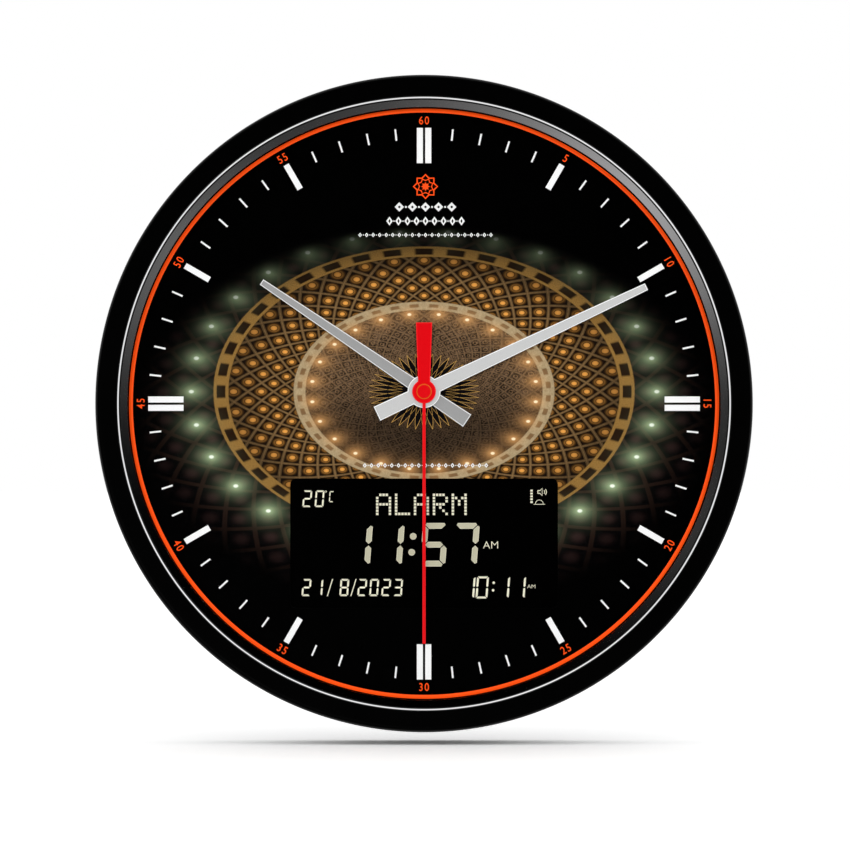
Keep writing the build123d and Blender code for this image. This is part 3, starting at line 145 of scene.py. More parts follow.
def surround():
    """The world: white wherever the camera, a mirror or glass sees it, and a softer light on the rest."""
    world = bpy.data.worlds.new("surround")
    world.use_nodes = True
    net = Net(world.node_tree)
    rays = net.node("LightPath").outputs
    seen = net.math("MAXIMUM", rays["Is Camera Ray"], rays["Is Glossy Ray"])
    seen = net.math("MAXIMUM", seen, rays["Is Transmission Ray"])
    background = net.tree.nodes["Background"]
    net.feed(background.inputs["Color"], (1.0, 1.0, 1.0))
    net.feed(background.inputs["Strength"], seen * (1 - SOFT_LIGHT) + SOFT_LIGHT)
    return world


scene.world = surround()


# -------- studio: floor, card and lamps
# The floor lies just under the case and takes its shadow. The card is a dark shell in front, which
# only reflections see: it keeps the pane clear and puts a soft glow into the polished rings.
FLOOR_Z = -166.1
FLOOR_HALF = 9000.0
FLOOR_BASE = 0.9
FLOOR_GAIN = 1.65
CARD_RADIUS = 3100.0
CARD_REACH = 70.0
CARD_ROWS = 25
CARD_COLUMNS = 72
GLOW_TILT = math.radians(25.7)
CARD_GLOWS = ((228, 500.0, 0.66), (193, 480.0, 0.16), (160, 350.0, 0.05), (120, 450.0, 0.24),
              (295, 330.0, 0.09))


class Finish(Net):
    """A material under construction: a shader and the nodes that feed it."""

    def __init__(self, name, **constants):
        self.material = bpy.data.materials.new(name)
        self.material.use_nodes = True
        super().__init__(self.material.node_tree)
        self.shader = self.tree.nodes["Principled BSDF"]
        self.show(**constants)

    def show(self, **channels):
        """Feeds the shader's own sockets and gives the material."""
        for word, value in channels.items():
            self.feed(self.shader.inputs[word.replace("_", " ")], value)
        return self.material

    def show_instead(self, made):
        """Shows another shader in place of the usual one and gives the material."""
        self.feed(self.tree.nodes["Material Output"].inputs["Surface"], made.outputs[0])
        self.tree.nodes.remove(self.shader)
        return self.material

    def mix(self, share, first, second):
        """A colour between two: the first where share is 0, the second where it is 1."""
        made = self.node("Mix", {"data_type": "RGBA"}, {0: share, 6: first, 7: second})
        return made.outputs[2]

    def shade(self, share, base, deep):
        """A colour from deep times the base, where share is 0, to the base, where it is 1."""
        return self.mix(share, tuple(part * deep for part in base), base)

    def grey(self, level):
        """A colour whose three parts are the same."""
        return self.node("CombineXYZ", {}, {0: level, 1: level, 2: level}).outputs[0]

    def place(self, move=(0, 0, 0), turn=(0, 0, 0), stretch=(1, 1, 1)):
        """The place on the piece in millimetres, moved, then turned in degrees, then stretched."""
        spot = self.node("TexCoord").outputs["Object"]
        moved = self.node("VectorMath", {"operation": "MULTIPLY_ADD"},
                          {0: spot, 1: (1000, 1000, 1000), 2: tuple(-part for part in move)})
        angles = tuple(math.radians(part) for part in turn)
        return self.node("Mapping", {}, {0: moved.outputs[0], 2: angles, 3: stretch}).outputs[0]

    def split(self, vector):
        """The three parts of a vector as numbers."""
        parts = self.node("SeparateXYZ", {}, {0: vector})
        return [Number(self, part) for part in parts.outputs]

    def face_spot(self, move=(0, 0, 0)):
        """How far the place is across and up from a point of the clock's face."""
        across, _, up = self.split(self.place(move))
        return across, up

    def from_axis(self, move=(0, 0, 0)):
        """The distance from an axis square to the wall: the root of across squared plus up squared."""
        across, up = self.face_spot(move)
        return (across * across + up * up) ** 0.5

    # The finishes here use this mask to paint highlights on bevels that lean away.
    def facing(self, start, end):
        """0 where the surface leans away from the front, and 1 where it looks straight at it."""
        toward = self.split(self.node("NewGeometry").outputs["Normal"])[1] * -1
        return toward.rise(start, end)

    def noise(self, size, detail=2.0, where=None, rough=0.5):
        """Soft noise from 0 to 1 whose grains are about size millimetres across."""
        made = self.node("TexNoise", {}, {"Vector": where or self.place(), "Scale": 1 / size,
                                         "Detail": detail, "Roughness": rough})
        return Number(self, made.outputs[0])

    def relief(self, height, depth, strength=1.0, edge=0.0):
        """Bump from a height of 0 to 1 that stands for depth millimetres, over softened edges."""
        sockets = {"Height": height, "Distance": depth / 1000, "Strength": strength}
        if edge:
            sockets["Normal"] = self.node("Bevel", {"samples": 4}, {"Radius": edge / 1000}).outputs[0]
        self.show(Normal=self.node("Bump", {}, sockets).outputs[0])


def put_mesh(name, points, faces):
    """An object whose mesh has these points, in millimetres, with its faces turned outwards."""
    mesh = bpy.data.meshes.new(name)
    mesh.from_pydata((np.asarray(points, float) / 1000).tolist(), [], faces)
    work = bmesh.new()
    work.from_mesh(mesh)
    bmesh.ops.remove_doubles(work, verts=work.verts, dist=1e-7)
    bmesh.ops.recalc_face_normals(work, faces=work.faces)
    work.to_mesh(mesh)
    work.free()
    made = bpy.data.objects.new(name, mesh)
    scene.collection.objects.link(made)
    return made


def floor_finish():
    """Matt paper. The camera sees it brighter than it is, so it is as white as the surround except
    where the object keeps the light off it."""
    finish = Finish("floor_paper")
    tone = finish.noise(900.0).rise(0.2, 0.8) * 0.02
    seen = Number(finish, finish.node("LightPath").outputs["Is Camera Ray"])
    bright = (seen * FLOOR_GAIN + FLOOR_BASE) * (1 - tone)
    return finish.show_instead(finish.node("BsdfDiffuse", {}, {"Color": finish.grey(bright)}))


floor_corners = [(x * FLOOR_HALF, y * FLOOR_HALF, FLOOR_Z) for x, y in ((-1, -1), (1, -1), (1, 1), (-1, 1))]
floor = put_mesh("floor", floor_corners, [(0, 1, 2, 3)])
floor.data.materials.append(floor_finish())
floor.visible_glossy = False


def grid_faces(rows, columns, closed_rows=True, closed_columns=True):
    """The quads between neighbours of a grid of points, going round where a side is closed."""
    row = np.arange(rows if closed_rows else rows - 1)[:, None]
    column = np.arange(columns if closed_columns else columns - 1)[None, :]
    next_row = (row + 1) % rows
    next_column = (column + 1) % columns
    corners = [row * columns + column, row * columns + next_column,
               next_row * columns + next_column, next_row * columns + column]
    return np.stack(np.broadcast_arrays(*corners), -1).reshape(-1, 4).tolist()


def card_finish():
    """Black, with glows at some directions: each falls off with the squared distance from it."""
    finish = Finish("card_black", Base_Color=(0.0, 0.0, 0.0), Roughness=1.0, Specular_IOR_Level=0.0,
                    Emission_Strength=1.0)
    across, up = finish.face_spot()
    light = 0.0
    for angle, width, level in CARD_GLOWS:
        glow_x = CARD_RADIUS * math.sin(GLOW_TILT) * math.sin(math.radians(angle))
        glow_z = CARD_RADIUS * math.sin(GLOW_TILT) * math.cos(math.radians(angle))
        away = ((across - glow_x) ** 2 + (up - glow_z) ** 2) / width ** 2
        light = finish.math("EXPONENT", away * -1) * level + light
    return finish.show(Emission_Color=finish.grey(light))


lean = np.radians(np.linspace(0.0, CARD_REACH, CARD_ROWS))[:, None]
turn = np.radians(np.linspace(0.0, 360.0, CARD_COLUMNS, endpoint=False))[None, :]
card_points = CARD_RADIUS * np.stack(np.broadcast_arrays(np.sin(lean) * np.sin(turn), -np.cos(lean),
                                                         np.sin(lean) * np.cos(turn)), -1)
card = put_mesh("card", card_points.reshape(-1, 3), grid_faces(CARD_ROWS, CARD_COLUMNS, closed_rows=False))
card.data.materials.append(card_finish())
for ray in ("camera", "diffuse", "transmission", "volume_scatter", "shadow"):
    setattr(card, "visible_" + ray, False)


all_but_floor = bpy.data.collections.new("all_but_floor")
all_but_floor.objects.link(floor)
all_but_floor.collection_objects[0].light_linking.link_state = "EXCLUDE"


def lamp(name, spot, side, power):
    """A square soft lamp that shines at the clock from a spot, and leaves the floor to the surround."""
    made = bpy.data.objects.new(name, bpy.data.lights.new(name, "AREA"))
    made.data.size = side / 1000
    made.data.energy = power
    made.location = [part / 1000 for part in spot]
    flat = math.hypot(spot[0], spot[1])
    made.rotation_euler = (math.pi / 2 - math.atan2(spot[2], flat), 0, math.atan2(spot[0], -spot[1]))
    made.visible_camera = False
    made.visible_glossy = False
    made.light_linking.receiver_collection = all_but_floor
    scene.collection.objects.link(made)


for name, x, z in (("left_lamp", -430.0, 320.0), ("right_lamp", 430.0, 320.0), ("low_lamp", 0.0, -420.0)):
    lamp(name, (x, -2700.0, z), 420.0, 27.5)
lamp("rear_lamp", (-1700.0, 1500.0, 1500.0), 500.0, 62.0)
lamp("rear_fill", (1500.0, 2300.0, 200.0), 900.0, 16.0)


# -------- case ring
# A moulded ring of black plastic with a flat front rim and a round outer edge. Six posts inside
# take the screws of the back.
CASE_RADIUS = 160.0
CASE_DEPTH = 42.0
WALL_INNER = 156.8
RIM_INNER = 149.6
LENS_TOP = 39.5
SCREW_CIRCLE = 154.2
SCREW_RADIUS = 1.4
POST_RADIUS = 3.3
POST_LOW = 4.6
POST_HIGH = 24.0
DEEP_BLACK = (0.0002, 0.0002, 0.0002)
SOFT_BLACK = (0.0005, 0.0005, 0.0005)


def rounded(corners, radii, steps=4):
    """Each corner of a loop becomes a curve from one side to the next. With a and b at the tangent
    distance along the two sides, it is (1-t)(1-t) a + 2t(1-t) corner + t t b."""
    corners = np.asarray(corners, float)
    back = np.roll(corners, 1, 0) - corners
    ahead = np.roll(corners, -1, 0) - corners
    back_length = np.linalg.norm(back, axis=1)
    ahead_length = np.linalg.norm(ahead, axis=1)
    cosine = (back * ahead).sum(1) / (back_length * ahead_length)
    half_angle = np.arccos(np.clip(cosine, -1, 1)) / 2
    reach = np.minimum(np.broadcast_to(radii, half_angle.shape) / np.tan(half_angle),
                       0.48 * np.minimum(back_length, ahead_length))
    start = corners + back * (reach / back_length)[:, None]
    end = corners + ahead * (reach / ahead_length)[:, None]
    t = np.linspace(0, 1, steps + 1)[None, :, None]
    curve = (1 - t) ** 2 * start[:, None] + 2 * t * (1 - t) * corners[:, None] + t ** 2 * end[:, None]
    return curve.reshape(-1, 2)


def turned(profile, centre=(0, 0), steps=288):
    """A closed loop of (radius, height) carried round an axis square to the wall: at an angle a the
    point is centre + radius (sin a, cos a) at that height."""
    profile = np.asarray(profile, float)
    angle = np.linspace(0, 2 * np.pi, steps, endpoint=False)[:, None]
    x = centre[0] + profile[:, 0] * np.sin(angle)
    z = centre[1] + profile[:, 0] * np.cos(angle)
    y = -profile[:, 1] + 0 * angle
    return np.stack([x, y, z], -1).reshape(-1, 3), grid_faces(steps, len(profile))


def joined(shapes):
    """Several shapes as one: the faces of each are counted on from the points before it."""
    points = []
    faces = []
    count = 0
    for some_points, some_faces in shapes:
        points.append(some_points)
        faces += [[index + count for index in face] for face in some_faces]
        count += len(some_points)
    return np.concatenate(points), faces


def piece(name, shape, material, body, stands_for=(), sharp=35.0):
    """A finished piece: smooth but for its edges, on its body, in place of some plain solids. Its
    normals are weighted by area, so that a flat face stays flat up to its rounded edge."""
    made = put_mesh(name, *shape)
    made.data.shade_smooth()
    made.data.set_sharp_from_angle(angle=math.radians(sharp))
    made.modifiers.new("weighted", "WEIGHTED_NORMAL").keep_sharp = True
    made.data.materials.append(material)
    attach(made, body)
    if stands_for:
        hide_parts(*stands_for)


def gloss_black():
    """Smooth black moulding: faint flow marks in its gloss and an almost level skin."""
    finish = Finish("gloss_black", Specular_IOR_Level=0.12)
    flow = finish.noise(35.0, 3.0)
    finish.relief(finish.noise(1.4, 2.0), 0.004, 0.3)
    return finish.show(Base_Color=finish.mix(flow, DEEP_BLACK, SOFT_BLACK), Roughness=flow * 0.1 + 0.25)


def circle_spot(radius, angle):
    """The point at a radius and a clock angle about the case's centre."""
    return radius * math.sin(math.radians(angle)), radius * math.cos(math.radians(angle))


ring_loop = rounded([(WALL_INNER, 0), (CASE_RADIUS, 0), (CASE_RADIUS, CASE_DEPTH),
                     (RIM_INNER, CASE_DEPTH), (RIM_INNER, LENS_TOP), (WALL_INNER, LENS_TOP)],
                    (0.3, 0.6, 3.0, 0.5, 0.2, 0.3), 7)
post_loop = rounded([(SCREW_RADIUS, POST_LOW), (POST_RADIUS, POST_LOW), (POST_RADIUS, POST_HIGH),
                     (SCREW_RADIUS, POST_HIGH)], 0.2, 1)
posts = [turned(post_loop, circle_spot(SCREW_CIRCLE, angle), 24) for angle in range(30, 390, 60)]
piece("case_ring", joined([turned(ring_loop, steps=384)] + posts), gloss_black(), "case",
      ["front_frame"])


# -------- rings and pane in front
# A polished ring lies on the clear pane against the rim, with a satin sloped ring inside it. The
# pane is an acrylic sheet that rests on a black spacer. An orange ring lies on the dial's edge.
DIAL_TOP = 27.0
PANE_LOW = 37.5
PANE_RADIUS = 156.5
TRIM_BRIGHT = (148.5, 149.15)
ORANGE = linear(250, 80, 18)


def polished(name, base, roughness, bright=None):
    """Polished metal: faint clouds left by the buffing wheel. Where two radii are given, only the band
    between them keeps the metal's colour, and the rest is near black as painted shade."""
    finish = Finish(name, Metallic=1.0)
    cloud = finish.noise(9.0, 2.0)
    finish.relief(cloud, 0.002, 0.3)
    colour = finish.shade(cloud, base, 0.95)
    if bright:
        # Painted shade: outside the band the metal is made near black, so that only a thin line shows
        # bright.
        colour = finish.mix(finish.from_axis().band(*bright, 0.08), (0.012, 0.012, 0.012), colour)
    return finish.show(Base_Color=colour, Roughness=cloud * 0.03 + roughness)


trim_loop = rounded([(148.3, LENS_TOP), (149.5, LENS_TOP), (149.5, 41.4), (149.2, 41.4), (148.3, 40.65)],
                    0.05, 2)
# Outside TRIM_BRIGHT the trim's colour is painted shade.
trim_finish = polished("trim_polish", (0.84, 0.84, 0.85), 0.06, TRIM_BRIGHT)
piece("trim_ring", turned(trim_loop, steps=384), trim_finish, "case", ["bezel_trim"],
      sharp=12.0)

slope_loop = rounded([(144.3, LENS_TOP), (148.1, LENS_TOP), (148.1, 40.55), (147.8, 40.55), (144.3, 39.75)],
                     0.04, 2)
slope_finish = polished("slope_satin", (0.84, 0.83, 0.83), 0.13)
piece("sloped_ring", turned(slope_loop, steps=384), slope_finish, "case", ["inner_bezel"],
      sharp=12.0)


def clear_sheet():
    """Acrylic: what isn't mirrored at its surface passes straight through, with faint smears. Only
    the side of a surface that faces the air mirrors."""
    finish = Finish("clear_sheet")
    smear = finish.noise(26.0, 3.0)
    mirror = finish.node("BsdfAnisotropic", {}, {"Color": (1.0, 1.0, 1.0), "Roughness": 0.02})
    passing = finish.node("BsdfTransparent", {}, {"Color": (0.996, 0.998, 0.997)})
    slant = Number(finish, finish.node("Fresnel", {}, {"IOR": 1.49}).outputs[0])
    inside = Number(finish, finish.node("NewGeometry").outputs["Backfacing"])
    share = slant * (smear * 0.2 + 0.7) * (1 - inside)
    return finish.show_instead(finish.node("MixShader", {}, {0: share, 1: passing.outputs[0],
                                                             2: mirror.outputs[0]}))


pane_loop = rounded([(0, PANE_LOW), (PANE_RADIUS, PANE_LOW), (PANE_RADIUS, LENS_TOP), (0, LENS_TOP)],
                    (0, 0.2, 0.2, 0), 3)
piece("clear_pane", turned(pane_loop), clear_sheet(), "case", ["lens"])


def moulded(name, base, roughness=0.45, grain=0.35, depth=0.02, edge=0.0):
    """Moulded plastic: an eroded grain of a given size and depth, with slow drifts of tone."""
    finish = Finish(name, Specular_IOR_Level=0.4)
    drift = finish.noise(18.0, 3.0)
    skin = finish.noise(grain, 3.0, rough=0.7)
    finish.relief(skin, depth, 0.8, edge)
    lighter = tuple(min(part * 1.12, 0.95) for part in base)
    return finish.show(Base_Color=finish.mix(drift, base, lighter), Roughness=skin * 0.18 + roughness)


spacer_loop = rounded([(146.0, PANE_LOW), (PANE_RADIUS, PANE_LOW), (PANE_RADIUS, 36.0), (147.8, 36.0),
                       (147.8, DIAL_TOP), (145.6, DIAL_TOP)], 0.15, 2)
piece("spacer_moulding", turned(spacer_loop), moulded("spacer_plastic", (0.012, 0.012, 0.013), 0.5), "case",
      ["spacer_ring"])


def lacquer(name, base, painted_glow):
    """Sprayed orange paint with a painted glow that lifts its shaded parts: an orange-peel skin and a slight
    cloudiness.
    """
    finish = Finish(name, Specular_IOR_Level=0.2, Emission_Color=base, Emission_Strength=painted_glow)
    peel = finish.noise(0.8, 2.0)
    cloud = finish.noise(14.0, 2.0)
    finish.relief(peel, 0.006, 0.5)
    return finish.show(Base_Color=finish.shade(cloud, base, 0.93), Roughness=cloud * 0.1 + 0.32)


accent_loop = rounded([(142.4, DIAL_TOP), (144.3, DIAL_TOP), (144.3, 27.25), (143.35, 27.5),
                       (142.4, 27.25)], (0, 0, 0.1, 0.25, 0.1), 3)
# The last number is the ring's painted glow.
piece("orange_ring", turned(accent_loop, steps=384), lacquer("orange_lacquer", ORANGE, 0.28), "case",
      ["accent_ring"])


# -------- dial print
# The dial is a plastic disc with a printed film: a night-coloured rosette of crossing straps that
# grows from the hands' axis and fades out in a wide oval. The rest of the film is plain black.
AXIS_UP = 5.9
OVAL = 1.45
STRAP_COUNT = 40
CREAM_BAND = (40.0, 44.0)
GOLD_BAND = (66.0, 71.0)
FADE_WIDE = 141.0
FADE_TALL = 92.0
FADE_DROP = 12.0


def dial_print():
    """Rings of a rosette stretched sideways. In (logarithm of radius, angle) its straps are two sets
    of slanting lines, so their cells grow outwards in proportion."""
    finish = Finish("dial_print", Roughness=0.5, Specular_IOR_Level=0.05)
    across, up = finish.face_spot((0, 0, AXIS_UP))
    narrow = across / OVAL
    radius = (narrow * narrow + up * up) ** 0.5
    angle = finish.math("ARCTAN2", narrow, up)
    per_turn = STRAP_COUNT / (2 * math.pi)
    along = finish.math("LOGARITHM", radius, math.e) * per_turn
    aside = angle * per_turn
    speck = finish.noise(1.1, 4.0, rough=0.8)
    fine = finish.noise(0.45, 2.0)
    cloud = finish.noise(22.0, 3.0)

    def off_middle(number):
        """How far a number is from halfway between two whole ones: 0 there and 0.5 at each."""
        return finish.math("ABSOLUTE", finish.math("FRACT", number) - 0.5)

    def tones(share, first, second):
        """A colour between two that are given as screen values."""
        return finish.mix(share, linear(*first), linear(*second))

    def layered(colour, *layers):
        """A colour under layers: each is the share that it covers, and its colour or screen values."""
        for share, tone in layers:
            colour = finish.mix(share, colour, linear(*tone) if isinstance(tone, tuple) else tone)
        return colour

    def lamps(ring, count, reach, strength, core, halo_tone, core_tone):
        """Two layers for a ring of little lamps: the halo round each, and its bright core."""
        beside = finish.math("FRACT", angle * (count / (2 * math.pi))) - 0.5
        beside = beside * (2 * math.pi * ring / count)
        away = (beside * beside + (radius - ring) ** 2) ** 0.5
        halo = finish.math("EXPONENT", away / -reach) * strength
        return (halo, halo_tone), (1 - away.rise(*core), core_tone)

    first = off_middle(along + aside)
    second = off_middle(along - aside)
    nearest = finish.math("MAXIMUM", first, second)
    straps = nearest.rise(0.40, 0.44)
    strap_line = nearest.band(0.435, 0.465, 0.01)
    from_cell = (first * first + second * second) ** 0.5
    cell = 1 - from_cell.rise(0.05, 0.5)
    medal = from_cell.band(0.17, 0.23, 0.02)
    teeth = off_middle(aside) * 2
    star_edge = radius - teeth * 6.0 - 12.5
    petal_edge = (1 - teeth) * 4.5 - radius + 7.5
    lines = finish.math("MAXIMUM", star_edge.band(-0.35, 0.35, 0.15), petal_edge.band(-0.3, 0.3, 0.15))

    middle = layered(tones(speck.rise(0.40, 0.62), (14, 11, 10), (112, 88, 66)),
                     (cloud * 0.4, (40, 31, 26)),
                     (straps * 0.45, (138, 108, 74)),
                     (medal * 0.35, (190, 148, 98)),
                     ((1 - up.rise(-22.0, 12.0)) * 0.7, (13, 10, 9)),
                     (1 - star_edge.rise(-0.25, 0.25), (13, 11, 12)),
                     (lines, tones(fine, (150, 104, 44), (236, 192, 108))))
    lit_cells = layered(tones(cell ** 2.2, (22, 12, 6), (226, 156, 72)),
                        (medal * 0.8, (40, 22, 10)),
                        (straps, tones(speck, (66, 46, 26), (158, 124, 80))),
                        (strap_line * 0.6, (36, 23, 13)),
                        (radius.rise(50.0, 68.0) * 0.55, (16, 10, 7)))
    night = layered(tones(cell ** 2 * 0.7, (10, 7, 9), (62, 42, 40)), (straps * 0.4, (70, 48, 38)))

    cream_low, cream_high = CREAM_BAND
    gold_low, gold_high = GOLD_BAND
    beads = radius.band(cream_low + 1.2, cream_high - 1.2, 0.2) * (1 - teeth.rise(0.35, 0.6))
    arches = radius.band(gold_low + 1, gold_high - 1, 0.2) * teeth.rise(0.3, 0.55)
    colour = layered(middle,
                     (radius.band(cream_low, cream_high, 0.25), tones(speck, (96, 76, 52), (206, 186, 146))),
                     (beads * 0.8, (96, 64, 34)),
                     *lamps(38.0, 24, 2.1, 0.8, (0.4, 0.9), (240, 176, 108), (255, 232, 190)),
                     (radius.rise(cream_high - 0.1, cream_high + 0.3), lit_cells),
                     (radius.band(gold_low, gold_high, 0.25), tones(fine, (76, 50, 22), (178, 136, 70))),
                     (arches, (34, 19, 9)),
                     (radius.rise(gold_high - 0.1, gold_high + 0.3), night),
                     *lamps(78.5, 30, 2.3, 0.85, (0.5, 1.1), (196, 222, 170), (246, 255, 236)))
    oval = ((across / FADE_WIDE) ** 2 + ((up + FADE_DROP) / FADE_TALL) ** 2) ** 0.5
    finish.relief(fine, 0.004, 0.25)
    return finish.show(Base_Color=finish.mix(oval.rise(0.72, 1.02), colour, DEEP_BLACK))


def dress(material, *names):
    """Gives a finish to solids that are shown as they are."""
    for name in names:
        for place in nodes[name].material_slots:
            place.material = material


dress(dial_print(), "dial_plate")


# -------- dial marks and numbers
# Bars and strokes of white plastic are set on the dial: a pair of long bars at each quarter, one at
# each other hour and a stroke at each minute. Orange numbers are printed outside them.
MARK_OUTER = 134.9
LONG_INNER = 117.6
SHORT_INNER = 121.2
STROKE_INNER = 129.25
BAR_WIDTH = 3.0
BAR_TOP = 27.6
PAIR_OFFSET = 2.05
STROKE_WIDTH = 0.9
STROKE_TOP = 27.25
ON_DIAL = (DIAL_TOP, DIAL_TOP + 0.06)
NUMBER_CIRCLE = 138.55
NUMBER_SIZE = 5.5


def stacked(loops):
    """Loops of (x, z), each at its height, as the rows of one grid of points."""
    return np.concatenate([np.column_stack([loop[:, 0], np.full(len(loop), -height), loop[:, 1]])
                           for loop, height in loops])


def prism(outline, low, high, bevel=0.0, drop=None):
    """A plate with a bevelled front: its outline at the back, again at the drop below the front, and
    once more on the front face with each corner moved inwards along its bisector."""
    outline = np.asarray(outline, float)
    after = np.roll(outline, -1, 0)
    if (outline[:, 0] * after[:, 1] - after[:, 0] * outline[:, 1]).sum() < 0:
        outline = outline[::-1]
    side = np.roll(outline, -1, 0) - outline
    side /= np.linalg.norm(side, axis=1)[:, None]
    inward = np.stack([-side[:, 1], side[:, 0]], 1)
    before = np.roll(inward, 1, 0)
    shift = (inward + before) / (1 + (inward * before).sum(1))[:, None]
    loops = [(outline, low), (outline, high)]
    if bevel:
        loops[1:] = [(outline, high - (drop or bevel)), (outline + shift * bevel, high)]
    points = stacked(loops)
    count = len(outline)
    faces = grid_faces(len(loops), count, closed_rows=False)
    return points, faces + [list(range(count)), list(range(len(points) - count, len(points)))]


def swung(shape, angle, centre=(0, 0)):
    """A shape turned clockwise by a clock angle about the dial's centre or another one."""
    points, faces = shape
    cosine = math.cos(math.radians(angle))
    sine = math.sin(math.radians(angle))
    x = points[:, 0] - centre[0]
    z = points[:, 2] - centre[1]
    return np.column_stack([centre[0] + x * cosine + z * sine, points[:, 1],
                            centre[1] - x * sine + z * cosine]), faces


def box_outline(width, low, high, x=0.0):
    """The corners of an upright bar."""
    return [(x - width / 2, low), (x + width / 2, low), (x + width / 2, high), (x - width / 2, high)]


def white_satin(name, tone):
    """White moulding with a fine grain and a trace of unevenness."""
    return moulded(name, (tone, tone, tone), 0.38, 0.5, 0.008)


long_bars = joined([prism(box_outline(BAR_WIDTH, LONG_INNER, MARK_OUTER, x), DIAL_TOP, BAR_TOP, 0.16)
                    for x in (-PAIR_OFFSET, PAIR_OFFSET)])
short_bar = prism(box_outline(BAR_WIDTH, SHORT_INNER, MARK_OUTER), DIAL_TOP, BAR_TOP, 0.16)
stroke = prism(box_outline(STROKE_WIDTH, STROKE_INNER, MARK_OUTER), DIAL_TOP, STROKE_TOP, 0.08)
bars = [swung(short_bar if angle % 90 else long_bars, angle) for angle in range(0, 360, 30)]
strokes = [swung(stroke, angle) for angle in range(0, 360, 6) if angle % 30]
piece("white_bars", joined(bars), white_satin("bar_white", 0.95), "case", ["hour_batons"])
piece("white_strokes", joined(strokes), white_satin("stroke_white", 0.88), "case",
      ["minute_ticks"])


def lettering(words, size, centre, low, high, turn=0.0, squeeze=1.0, weight=0.0, spacing=1.0):
    """Raised figures on a surface, centred at a place and turned clockwise."""
    curve = bpy.data.curves.new(words, "FONT")
    curve.body = words
    curve.size = size
    curve.align_x = "CENTER"
    curve.align_y = "CENTER"
    curve.offset = weight * size
    curve.space_character = spacing
    curve.extrude = (high - low) / 2
    curve.resolution_u = 4
    holder = bpy.data.objects.new(words, curve)
    scene.collection.objects.link(holder)
    mesh = bpy.data.meshes.new_from_object(holder.evaluated_get(bpy.context.evaluated_depsgraph_get()))
    flat = np.zeros(len(mesh.vertices) * 3)
    mesh.vertices.foreach_get("co", flat)
    flat = flat.reshape(-1, 3)
    faces = [list(face.vertices) for face in mesh.polygons]
    bpy.data.objects.remove(holder)
    bpy.data.curves.remove(curve)
    bpy.data.meshes.remove(mesh)
    flat[:, :2] -= (flat[:, :2].min(0) + flat[:, :2].max(0)) / 2
    points = np.column_stack([centre[0] + flat[:, 0] * squeeze, -(low + high) / 2 - flat[:, 2],
                              centre[1] + flat[:, 1]])
    return swung((points, faces), turn, centre)


def printed(name, base, painted_glow=0.0):
    """Screen-printed ink: a dry, very slightly mottled film. A painted glow makes the ink give off a little
    light.
    """
    finish = Finish(name, Specular_IOR_Level=0.2, Emission_Color=base, Emission_Strength=painted_glow)
    mottle = finish.noise(0.5, 2.0)
    finish.relief(mottle, 0.003, 0.4)
    return finish.show(Base_Color=finish.shade(mottle, base, 0.88), Roughness=mottle * 0.12 + 0.45)


numbers = []
for angle in range(30, 390, 30):
    upright = angle if angle <= 90 or angle >= 270 else angle + 180
    numbers.append(lettering(str(angle // 6), NUMBER_SIZE, circle_spot(NUMBER_CIRCLE, angle), *ON_DIAL,
                             upright, 0.84, 0.006, 1.24))
# The orange figures have a painted glow of 0.2.
piece("seconds_numbers", joined(numbers), printed("orange_ink", ORANGE, 0.2), "case")


# -------- dial ornament
# A plain eight-pointed star in orange ink over rows of white lozenges and dots, and one more row
# above the display. They are printed on the film.
ORNAMENT_X = 0.7
EMBLEM_SPOT = (ORNAMENT_X, 106.2)


def star_outline(points, outer, inner, centre, turn=0.0):
    """A star: corners alternate between an outer and an inner radius."""
    angle = np.radians(turn) + np.pi * np.arange(2 * points) / points
    radius = np.where(np.arange(2 * points) % 2 == 0, outer, inner)
    return np.column_stack([centre[0] + radius * np.sin(angle), centre[1] + radius * np.cos(angle)])


def framed(outline, width, low, high):
    """A line of a given width along the inside of an outline: two loops and the quads between."""
    outline = np.asarray(outline, float)
    centre = outline.mean(0)
    reach = np.linalg.norm(outline - centre, axis=1)[:, None]
    inner = outline + (centre - outline) * (width / reach)
    return (stacked([(outline, low), (outline, high), (inner, high), (inner, low)]),
            grid_faces(4, len(outline)))


emblem = [framed(star_outline(8, 6.2, 4.75, EMBLEM_SPOT), 0.75, *ON_DIAL),
          framed(star_outline(8, 4.2, 3.2, EMBLEM_SPOT, 22.5), 0.55, *ON_DIAL),
          prism(star_outline(8, 2.2, 1.3, EMBLEM_SPOT), *ON_DIAL)]
# The star has a painted glow of 0.1.
piece("star_emblem", joined(emblem), printed("emblem_ink", ORANGE, 0.1), "case")


def lozenge_row(z, count, pitch, wide, tall, bead):
    """Lozenges side by side with a round bead between each pair."""
    row = []
    for place in range(count):
        x = ORNAMENT_X + (place - (count - 1) / 2) * pitch
        corners = [(x - wide / 2, z), (x, z - tall / 2), (x + wide / 2, z), (x, z + tall / 2)]
        row.append(framed(corners, 0.34 * min(wide, tall), *ON_DIAL))
        if place:
            row.append(prism(star_outline(6, bead, bead, (x - pitch / 2, z)), *ON_DIAL))
    return row


ornament = lozenge_row(96.2, 5, 6.4, 4.6, 4.6, 0.5)
ornament += lozenge_row(89.3, 9, 4.4, 3.2, 4.4, 0.35)
ornament += lozenge_row(82.5, 21, 3.2, 1.9, 2.2, 0.28)
ornament += lozenge_row(-30.2, 19, 3.3, 2.0, 2.4, 0.28)
piece("lozenge_rows", joined(ornament), printed("white_ink", (0.84, 0.84, 0.84)), "case")


